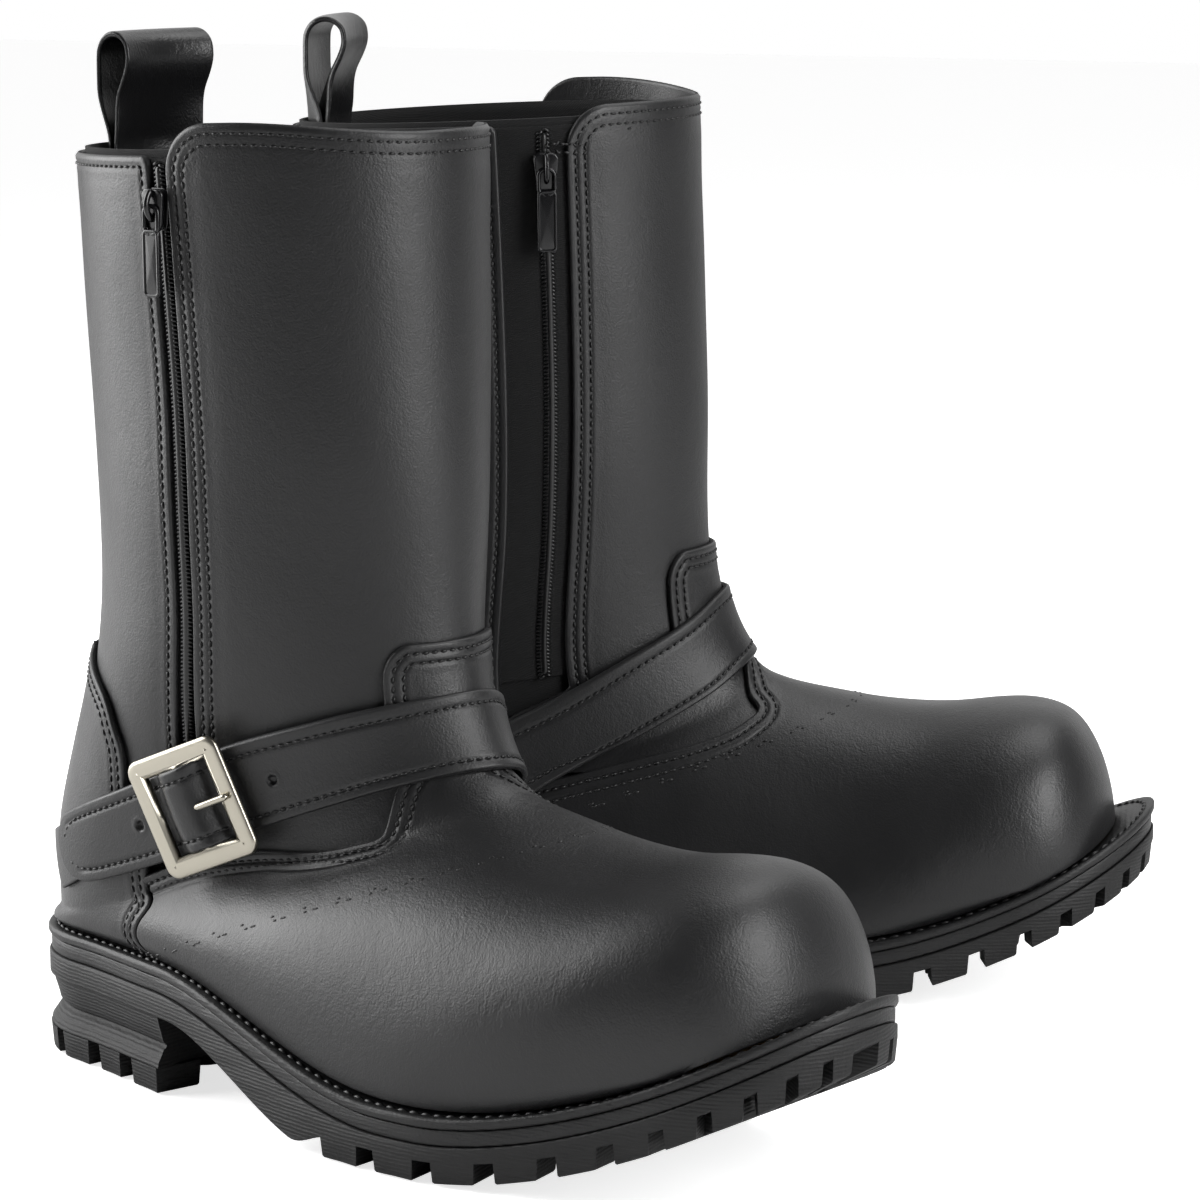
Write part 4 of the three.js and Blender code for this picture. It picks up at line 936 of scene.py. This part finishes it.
def buckle_axes():
    """Middle of the centre bar's underside, the way to the toe, and the way out of the boot."""
    at = lambda t, q: strap_point(np.array([t]), np.array([q]), np.array([0.0]))[0]
    origin = at(BAR, 0.5)
    along = at(BAR + 0.07, 0.5) - at(BAR - 0.07, 0.5)
    along /= np.linalg.norm(along)
    upward = at(BAR, 0.1) - at(BAR, 0.9)
    out = np.cross(along, upward)
    out /= np.linalg.norm(out)
    if out[1] > 0:
        out = -out
    return origin + out * BUCKLE_UP, along, out


def framed(verts, axes):
    """Points given along, across and out of a small part, put at its place on the boot."""
    origin, along, out = axes
    across = np.cross(out, along)
    return origin + verts[:, :1] * along + verts[:, 1:2] * across + verts[:, 2:] * out


def rounded_outline(length, width, radius, n=10):
    """Rounded rectangle as a closed line of points, with each point's outward direction."""
    pts, normals = [], []
    for k, (sx, sy) in enumerate([(1, -1), (1, 1), (-1, 1), (-1, -1)]):
        a = np.linspace(-math.pi / 2, 0, n) + k * math.pi / 2
        c = np.stack([np.cos(a), np.sin(a)], 1)
        pts.append(np.array([sx * (length / 2 - radius), sy * (width / 2 - radius)]) + radius * c)
        normals.append(c)
    return np.concatenate(pts), np.concatenate(normals)


def frame_ring(length, width, radius, bar, thick):
    """Buckle frame: a flat-oval section carried round a rounded rectangle."""
    mid, normal = rounded_outline(length - bar, width - bar, max(radius - bar / 2, 1.2), 10)
    a = 2 * math.pi * np.arange(24) / 24
    across = bar / 2 * np.sign(np.cos(a)) * np.abs(np.cos(a)) ** 0.55
    up = thick / 2 * np.sign(np.sin(a)) * np.abs(np.sin(a)) ** 0.8
    # The centre line's corner is tight, so the inner part of the section is drawn in there.
    ring = np.concatenate([mid[:, None] + normal[:, None] * across[None, :, None],
                           (up + thick / 2)[None, :, None] + 0 * mid[:, None, :1]], 2)
    v = ring.reshape(-1, 3)
    return v, oriented(v, ring_faces(*ring.shape[:2], closed=True)[:, [0, 3, 2, 1]])


def tube(points, radius, sides=14, flat=1.0):
    """Round bar along a line of points, with rounded ends."""
    points = np.asarray(points, float)
    length = np.concatenate([[0], np.cumsum(np.linalg.norm(np.diff(points, axis=0), axis=1))])
    tangent = np.gradient(points, axis=0)
    tangent /= np.linalg.norm(tangent, axis=1, keepdims=True)
    guide = np.array([0, 1.0, 0.01])
    side = np.cross(guide, tangent)
    side /= np.linalg.norm(side, axis=1, keepdims=True) + 1e-9
    up = np.cross(tangent, side)
    from_end = np.minimum(length, length[-1] - length) / radius
    r = radius * np.sqrt(np.clip(1 - np.clip(1 - from_end, 0, 1) ** 2, 0.0, 1))
    r[0] = r[-1] = 0
    a = 2 * math.pi * np.arange(sides) / sides
    ring = points[:, None] + r[:, None, None] * (np.cos(a)[None, :, None] * side[:, None]
                                                 + flat * np.sin(a)[None, :, None] * up[:, None])
    v = ring.reshape(-1, 3)
    return v, oriented(v, ring_faces(*ring.shape[:2])[:, [0, 3, 2, 1]])


AXES = buckle_axes()
ring_v, ring_f = frame_ring(37.5, 39.5, 4.4, 6.6, BUCKLE_THICK + 0.5)
bar_line = np.stack([np.zeros(30), np.linspace(-17.5, 17.5, 30), np.full(30, BAR_RADIUS)], 1)
bar_v, bar_f = tube(bar_line, BAR_RADIUS)
piece("buckle", [(framed(ring_v, AXES), ring_f), (framed(bar_v, AXES), bar_f)], [NICKEL],
      body="buckle", nodes=["buckle"])


def prong():
    """Prong: round wire hooked on the centre bar, up through the strap's hole and on to the
    frame's front bar."""
    hook = BAR_RADIUS + 1.4
    a = math.pi * (-0.45 - 1.15 * np.linspace(0, 1, 20))
    x = np.concatenate([np.cos(a) * hook, [4.5, 8.0, 12.0, 15.5, 17.2]])
    z = np.concatenate([BAR_RADIUS + np.sin(a) * hook, [4.9, 5.0, 4.7, 4.4, 4.35]])
    k = np.linspace(0, len(x) - 1, 90)
    window = np.hanning(9)[1:-1] / np.hanning(9).sum()
    x, z = (np.convolve(np.pad(np.interp(k, np.arange(len(v)), v), 3, mode="edge"), window, "valid")
            for v in (x, z))
    return tube(np.stack([x, 0 * x, z], 1), PRONG_RADIUS)


prong_v, prong_f = prong()
piece("prong", [(framed(prong_v, AXES), prong_f)], [NICKEL], body="prong", nodes=["prong"])

# ------------------------------------------------------------------ zips

# edges and coil in t; end of the tape and stop of the slider in s; lift of the slider's line in mm
# at its top and its stop.
ZIPS = {
    "outer": dict(side=-1, edges=(0.43, 0.545), coil=0.4875, end=4.9, stop=3.45, lift=(0.75, 0.75)),
    "inner": dict(side=1, edges=(0.29, 0.49), coil=0.372, end=5.2, stop=3.7, lift=(0.43, 1.0)),
}
COIL_PITCH = 1.3

for which, z in ZIPS.items():
    s = np.linspace(0.12, z["end"], 240)
    t = z["side"] * np.linspace(z["edges"][0], z["edges"][1], 26)
    ss, tt = s[:, None] + 0 * t[None], t[None] + 0 * s[:, None]
    tape = shell([skin(ss, tt, -2.1)], [skin(ss, tt, -2.9)])
    line_s = np.linspace(0.14, z["end"], 900)
    line_t = np.full(900, z["side"] * z["coil"])
    cs, ct = resampled([line_s, line_t], COIL_PITCH, skin(line_s, line_t))
    down = np.gradient(skin(cs, ct), axis=0)
    down /= np.linalg.norm(down, axis=1, keepdims=True)
    normal = skin_normal(cs, ct)
    across = np.cross(normal, down)
    coil_parts = []
    # Each turn of the coil is a short thick thread that lies across the zip, over a round core.
    for sign in (-1, 1):
        centre = skin(cs, ct, -1.35) + across * sign * 1.15 + down * (0.33 * sign)
        lean = across * sign + down * 0.42
        coil_parts.append(copies(capsule(7), centre, lean, normal, [1.5, 0.52, 0.62]))
    share = np.linspace(0, 1, len(cs))
    core = [np.interp(np.linspace(0, 1, 200), share, line) for line in skin(cs, ct, -1.9).T]
    coil_parts.append(tube(np.stack(core, 1), 1.5, 10))
    piece(f"{which}_zip", [tape], [TAPE, TAPE], nodes=[f"{which}_zip"])
    piece(f"{which}_coil", coil_parts, [COIL])


def bevelled(outline, normals, z0, z1, bevel):
    """Solid between two heights inside a closed outline, its edges rounded by `bevel`."""
    a = np.linspace(0, math.pi / 2, 5)
    inset = np.concatenate([bevel * (1 - np.sin(a)), bevel * (1 - np.cos(a))])
    height = np.concatenate([z0 + bevel * (1 - np.cos(a)), z1 - bevel * (1 - np.sin(a))])
    rings = [np.column_stack([outline - normals * d, np.full(len(outline), h)])
             for d, h in zip(inset, height)]
    n = len(outline)
    verts = np.concatenate(rings + [[[*outline.mean(0), z0]], [[*outline.mean(0), z1]]])
    k = np.arange(n)
    low, high, last = len(verts) - 2, len(verts) - 1, (len(rings) - 1) * n
    low_fan = np.stack([(k + 1) % n, k, 0 * k + low, 0 * k + low], 1)
    high_fan = np.stack([last + k, last + (k + 1) % n, 0 * k + high, 0 * k + high], 1)
    faces = np.concatenate([ring_faces(len(rings), n), low_fan, high_fan])
    return verts, oriented(verts, faces)


def zip_axes(z):
    """Slider's place at the top, the straight way to its stop, and the way out of the boot."""
    start = skin(np.array([0.42]), np.array([z["side"] * z["coil"]]), z["lift"][0])[0]
    stop = skin(np.array([z["stop"]]), np.array([z["side"] * z["coil"]]), z["lift"][1])[0]
    down = (stop - start) / np.linalg.norm(stop - start)
    out = skin_normal(np.array([1.5]), np.array([z["side"] * z["coil"]]))[0]
    out = out - down * (out @ down)
    out /= np.linalg.norm(out)
    return start, down, out


for which, z in ZIPS.items():
    start, down, out = zip_axes(z)
    outline, normals = rounded_outline(13, 8.4, 2.2, 6)
    taper = 1 - 0.3 * smooth(-1, 6.5, outline[:, 0])
    outline = outline * np.stack([np.ones(len(outline)), taper], 1)
    top_plate = bevelled(outline, normals, 0.9, 2.3, 0.55)
    low_plate = bevelled(outline * [1.0, 0.94], normals, -1.9, -0.9, 0.3)
    bow = 1.6 + 3.0 * np.sin(np.linspace(0, math.pi, 40)) ** 0.6
    arch = tube(np.stack([np.linspace(-6.0, 3.0, 40), np.zeros(40), bow], 1), 1.05, 12, 0.8)
    post = bevelled(*rounded_outline(3.2, 2.2, 0.8, 5), -1.4, 1.2, 0.2)
    post = (post[0] + [-3.6, 0, 0], post[1])
    body_parts = [(framed(v, (start, down, out)), f) for v, f in (top_plate, low_plate, arch, post)]
    piece(f"{which}_slider", body_parts, [ENAMEL], body=f"{which}_slider",
          nodes=[f"{which}_slider"])
    across = np.cross(down, out)
    pin = start + down * -0.3 + out * 2.8
    plumb = np.array([0, 0, -1.0])
    plumb = plumb - across * (plumb @ across)
    plumb /= np.linalg.norm(plumb)
    face = np.cross(across, plumb)
    # A wire bail at the top, then a flat tab with a raised rim round a sunk panel.
    bail, bail_n = rounded_outline(8.4, 5.4, 2.2, 8)
    loop = np.column_stack([bail, 0 * bail[:, 0]])
    loop = np.concatenate([loop, loop[:3]])
    bail_v, bail_f = tube(loop, 0.75, 10)
    bail_v = bail_v + [3.2, 0, 0]
    tab = bevelled(*rounded_outline(20.5, 6.6, 1.3, 6), -0.5, 0.5, 0.35)
    rim_v, rim_f = frame_ring(20.5, 6.6, 1.3, 1.1, 1.7)
    parts = [(bail_v, bail_f), (tab[0] + [16.2, 0, 0], tab[1]), (rim_v + [16.2, 0, -0.85], rim_f)]
    piece(f"{which}_pull", [(framed(v, (pin, plumb, face)), f) for v, f in parts], [ENAMEL],
          body=f"{which}_pull", nodes=[f"{which}_pull"])


# ------------------------------------------------------------------ pull loop

def pull_loop():
    """Pull loop: one strip of hide sewn inside the back of the rim, standing up straight at the
    back and bulging forward into a drop shape."""
    inside = LINING_BACK - PLAY - 2.7 - 0.15
    seat = skin(np.array([0.08]), np.array([0.999]), inside)[0]
    rim = seat[2]
    rise, bulge = 36.0, 6.8
    path = [(-1.05, -18), (-1.05, 0), (-1.5, rise * .3), (-1.65, rise - bulge - 1)]
    path += [(bulge - 1.4 + bulge * math.cos(a), rise - bulge - .9 + bulge * math.sin(a))
             for a in math.pi * (1 - np.arange(1, 8) / 8)]
    path += [(2 * bulge - 1.6, rise - bulge - 4), (bulge, rise * .42), (2.05, rise * .1), (1.05, 0),
             (1.05, -18)]
    path = np.array(path)
    for _ in range(3):           # corner cutting rounds the line off
        a, b = path[:-1], path[1:]
        cut = np.empty((2 * len(a), 2))
        cut[0::2], cut[1::2] = a * 0.75 + b * 0.25, a * 0.25 + b * 0.75
        path = np.concatenate([path[:1], cut, path[-1:]])
    x, z = resampled([path[:, 0], path[:, 1]], 1.0, path)
    flat = np.stack([x, z], 1)
    tangent = np.gradient(flat, axis=0)
    tangent /= np.linalg.norm(tangent, axis=1, keepdims=True)
    f = np.sin(np.linspace(-1, 1, 44) * math.pi / 2)
    thick = 0.9 * (1 - 0.75 * np.clip((np.abs(f) - 0.955) / 0.045, 0, 1) ** 2)
    faces = []
    for sign in (1, -1):
        px = flat[:, :1] - sign * tangent[:, 1:] * thick[None]
        pz = flat[:, 1:] + sign * tangent[:, :1] * thick[None]
        bow = (7.2 - 4.6 * smooth(0, rise * .5, pz)) * f[None] ** 2
        lean = -0.06 * np.minimum(pz, 0)
        faces.append(np.stack([seat[0] + px + bow + lean, f[None] * 19 + 0 * px, rim + pz], 2))
    return [shell([faces[0]], [faces[1]])]


piece("pull_loop", pull_loop(), [LOOP, CUT], nodes=["pull_loop"])

# ------------------------------------------------------------------ welt and sole


def round_line(n, inset, lift):
    """The sole's outline as a closed ring of points, set in by inset at the height lift(x)."""
    u = np.concatenate([np.linspace(0, 1, n), np.linspace(1, 0, n)[1:-1]])
    side = np.concatenate([-np.ones(n), np.ones(n - 2)])
    x, y = sole_edge(side, u, inset)
    y = np.where((u == 0) | (u == 1), 0, y)
    return np.stack([x, y, lift(x)], 1)


def stacked(rings, first=0):
    """Closed body from rings of points, one above the other. Strips from one side of the ring
    across to the other fill each end; first is 0 where the ring starts on the axis, 1 where two of
    its points face each other there."""
    n = len(rings[0])
    verts = np.concatenate(rings)
    i = np.arange((n - first) // 2)
    end = np.stack([i, i + 1, (n - first - i - 1) % n, (n - first - i) % n], 1)
    faces = np.concatenate([ring_faces(len(rings), n), end[:, ::-1], end + (len(rings) - 1) * n])
    return verts, oriented(verts, faces)


def slab(bottom, top, inset, bevel, n=260):
    """Sole layer between two heights that vary along it, its edges rounded by a quarter circle."""
    a = np.linspace(0, math.pi / 2, 4)
    low = [round_line(n, inset + bevel * (1 - math.sin(v)),
                      lambda x: bottom(x) + bevel * (1 - math.cos(v))) for v in a]
    high = [round_line(n, inset + bevel * (1 - math.cos(v)),
                       lambda x: top(x) - bevel * (1 - math.sin(v))) for v in a]
    return stacked(low + high)


welt_bottom = lambda x: welt_top(x) - WELT_THICKNESS
mid_top = lambda x: welt_bottom(x) - 0.1
mid_bottom = lambda x: mid_top(x) - MIDSOLE - 0.5
out_top = lambda x: mid_bottom(x) - 0.15


def welt():
    """Welt: a band round the upper, hollow inside, with a channel under its lock stitches."""
    profile = [(21, 0), (8, 0), (4.3, 0), (3.6, -0.35), (2.8, 0), (1.0, 0), (0.35, -0.3), (0, -1.0),
               (0, -2.4), (0.4, -3.1), (1.2, -3.4), (21, -3.4)]
    rings = [round_line(300, d, lambda x: welt_top(x) + h) for d, h in profile]
    verts = np.concatenate(rings)
    return verts, oriented(verts, ring_faces(len(rings), len(rings[0]), closed=True))


LOCK_PITCH = 4.4
lock = round_line(700, 3.5, lambda x: welt_top(x) - 0.05)
lock = np.concatenate([lock, lock[:1]])
centre = np.stack(resampled(lock.T, LOCK_PITCH, lock), 1)
lock_parts = [copies(capsule(8), centre, np.roll(centre, -1, 0) - np.roll(centre, 1, 0),
                     np.tile([0, 0, 1.0], (len(centre), 1)), [2.05, 0.75, 0.7])]
piece("welt", [welt()], [WELT], nodes=["welt"])
piece("midsole", [slab(mid_bottom, mid_top, 0.9, 0.7)], [WELT], nodes=["midsole"])


def share_at(x):
    """Share u of the sole's outline at x: the inverse of sole_edge's cosine."""
    return np.arccos(1 - 2 * np.asarray(x, float) / SOLE_LENGTH) / math.pi


def lug(side, u0, u1, depth, low, top, draft=0.7, bevel=0.6):
    """One lug at the sole's edge: a block between two stations of the outline, with drafted
    sides and softened corners."""
    u = np.linspace(u0, u1, 7)
    ox, oy = sole_edge(side, u, 0.15)
    ix, iy = sole_edge(side, u, depth)
    outline = np.concatenate([np.stack([ox, oy], 1), np.stack([ix, iy], 1)[::-1]])
    centre = outline.mean(0)
    rings = []
    outward = (outline - centre) / np.linalg.norm(outline - centre, axis=1, keepdims=True)
    for inset, level, lift in ((bevel + draft, low, 0.0), (draft, low, bevel), (0, top, 0.6)):
        ring = outline - outward * inset
        rings.append(np.column_stack([ring, level(ring[:, 0]) + lift]))
    return stacked(rings, first=1)


def outsole():
    """Outsole: a band under the midsole with a row of lugs along each side of the tread, lug
    blocks across the middle, and a smooth waist in front of the heel."""
    def band_bottom(x):
        return outsole_bottom(x) + LUG_DEPTH * smooth(150, 168, x)
    parts = [slab(band_bottom, out_top, 0.15, 0.6, 300)]
    first, last = float(share_at(162)), 0.985
    for side in (-1, 1):
        edges = np.linspace(first, last, 12)
        gap = (edges[1] - edges[0]) * 0.15
        for a, b in zip(edges[:-1], edges[1:]):
            parts.append(lug(side, a + gap, b - gap, 15, outsole_bottom, band_bottom))
    for x in np.arange(176, 300, 19.0):
        for y in (-22, 2, 24):
            if abs(y) + 14 < float(inner_half(x)) * float(round_end(x)):
                v, f = bevelled(*rounded_outline(13, 19, 2, 4), 0, 1.0, 0.2)
                z = outsole_bottom(v[:, 0] + x) + v[:, 2] * LUG_DEPTH
                parts.append((np.column_stack([v[:, 0] + x, v[:, 1] + y, z]), f))
    return parts


def heel_block():
    """Heel: outlines stacked upwards, flared at the ground, drawn in at the middle and flared
    again below the sole, with notches that part its lowest layer into lugs."""
    def ring(z, inset):
        n = 60
        end = float(share_at(HEEL_BREAST))
        u = np.linspace(0, end, n)
        u = np.concatenate([u[::-1], u[1:]])
        side = np.concatenate([-np.ones(n), np.ones(n - 1)])
        x, y = sole_edge(side, u, inset)
        y = np.where(u == 0, 0, y)
        breast = np.minimum(x, HEEL_BREAST - 0.05 * z)
        return np.column_stack([breast, y, np.full(len(x), float(z))])

    levels = [(8.2, 1.0), (8.6, 0.35), (10.0, 0.6), (12.0, 2.0), (14.0, 3.4), (14.6, 4.6),
              (15.2, 4.9), (16.0, 4.0), (17.0, 3.3), (20.0, 2.6), (23.0, 1.7), (24.9, 1.4)]
    parts = [stacked([ring(z, d) for z, d in levels], first=1)]
    low, top = lambda x: 0 * x, lambda x: 0 * x + 7.8
    end = float(share_at(HEEL_BREAST - 1.5))
    cuts, gap = [0.0, 0.105, 0.175, 0.24, 0.29, end], 0.009
    for side in (-1, 1):
        for a, b in zip(cuts[:-1], cuts[1:]):
            parts.append(lug(side, a + (gap if a else 0.004), b - (gap if b < end else 0), 17,
                             low, top))
    v, f = bevelled(*rounded_outline(50, 44, 8, 6), 0.3, 8.6, 0.8)
    parts.append((v + [48, 0, 0], f))
    return parts


piece("outsole", outsole(), [RUBBER], nodes=["outsole"], crease=40)
piece("heel_block", heel_block(), [BAND], nodes=["heel_block"], crease=40)
piece("upper_thread", thread, [THREAD])
piece("lock_thread", lock_parts, [THREAD])

for hand in HANDS:
    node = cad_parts[f"{hand}_footbed"]
    node.data.materials.clear()
    node.data.materials.append(LINING)

# ------------------------------------------------------------------ floor, light and camera

floor_mesh = bpy.data.meshes.new("floor")
floor_mesh.from_pydata([(-6, -6, -0.0005), (6, -6, -0.0005), (6, 6, -0.0005), (-6, 6, -0.0005)], [],
                       [(0, 1, 2, 3)])
# The floor glows a little, as a light table does, and so stays white round the boots.
paper, paper_tree, paper_shader = surface("pale floor", "#f4f4f4", 0.9)
FLOOR_GLOW = 0.72
rays = add(paper_tree, "ShaderNodeLightPath")
seen = add(paper_tree, "ShaderNodeMath", {0: rays.outputs["Is Camera Ray"]}, operation="MULTIPLY")
seen.inputs[1].default_value = FLOOR_GLOW
paper_shader.inputs["Emission Color"].default_value = (1, 1, 1, 1)
paper_tree.links.new(seen.outputs[0], paper_shader.inputs["Emission Strength"])
floor_mesh.materials.append(paper)
floor = bpy.data.objects.new("floor", floor_mesh)
bpy.context.scene.collection.objects.link(floor)

# A white sweep behind the boots and a dim room in front of them: the leather then shows the two
# softboxes as broad bands with a dark one between them.
world = bpy.data.worlds.new("studio")
bpy.context.scene.world = world
world.use_nodes = True
sky = world.node_tree
way = add(sky, "ShaderNodeVectorMath", {0: add(sky, "ShaderNodeTexCoord").outputs["Generated"]},
          operation="DOT_PRODUCT")
way.inputs[1].default_value = (0.911, 0.413, 0.0)
fade = add(sky, "ShaderNodeMapRange", {"Value": way.outputs["Value"]},
           interpolation_type="SMOOTHSTEP",
           **{"From Min": 0.2, "From Max": 0.85, "To Min": 0.07, "To Max": 1.0})
sky.links.new(fade.outputs[0], sky.nodes["Background"].inputs["Strength"])
sky.nodes["Background"].inputs["Color"].default_value = (1, 1, 1, 1)


def softbox(name, azimuth, height, distance, size, power):
    """Area light round the boots, turned towards them. azimuth in degrees from +X."""
    a = math.radians(azimuth)
    place = Vector((distance * math.cos(a), distance * math.sin(a), height))
    data = bpy.data.lights.new(name, "AREA")
    data.shape = "RECTANGLE"
    data.size, data.size_y = size
    data.energy = power
    obj = bpy.data.objects.new(name, data)
    obj.location = place
    obj.rotation_euler = (Vector((0, 0, 0.14)) - place).to_track_quat("-Z", "Y").to_euler()
    bpy.context.scene.collection.objects.link(obj)


softbox("left softbox", 103, 0.6, 1.3, (1.2, 1.1), 27)
softbox("right softbox", 256, 0.75, 1.4, (0.55, 1.1), 20)
softbox("top softbox", 320, 1.7, 0.6, (1.2, 1.0), 12)

scene = bpy.context.scene
camera_data = bpy.data.cameras.new("camera")
camera = bpy.data.objects.new("camera", camera_data)
scene.collection.objects.link(camera)
camera_data.sensor_width = 36
camera_data.lens = 126.3
camera_data.shift_x = 0.0007
camera_data.shift_y = 0.0074
camera_data.clip_start, camera_data.clip_end = 0.05, 50
camera.location = (-1.2335, -0.7210 + PAIR_Y / 1000, 0.39047)
look = math.radians(24.37)
pitch = math.radians(10.36)
level = math.cos(pitch)
forward = Vector((math.cos(look) * level, math.sin(look) * level, -math.sin(pitch)))
turn = forward.to_track_quat("-Z", "Y").to_matrix()
camera.rotation_euler = (turn @ Matrix.Rotation(math.radians(-0.14), 3, "Z")).to_euler()
scene.camera = camera
scene.view_settings.view_transform = "Standard"
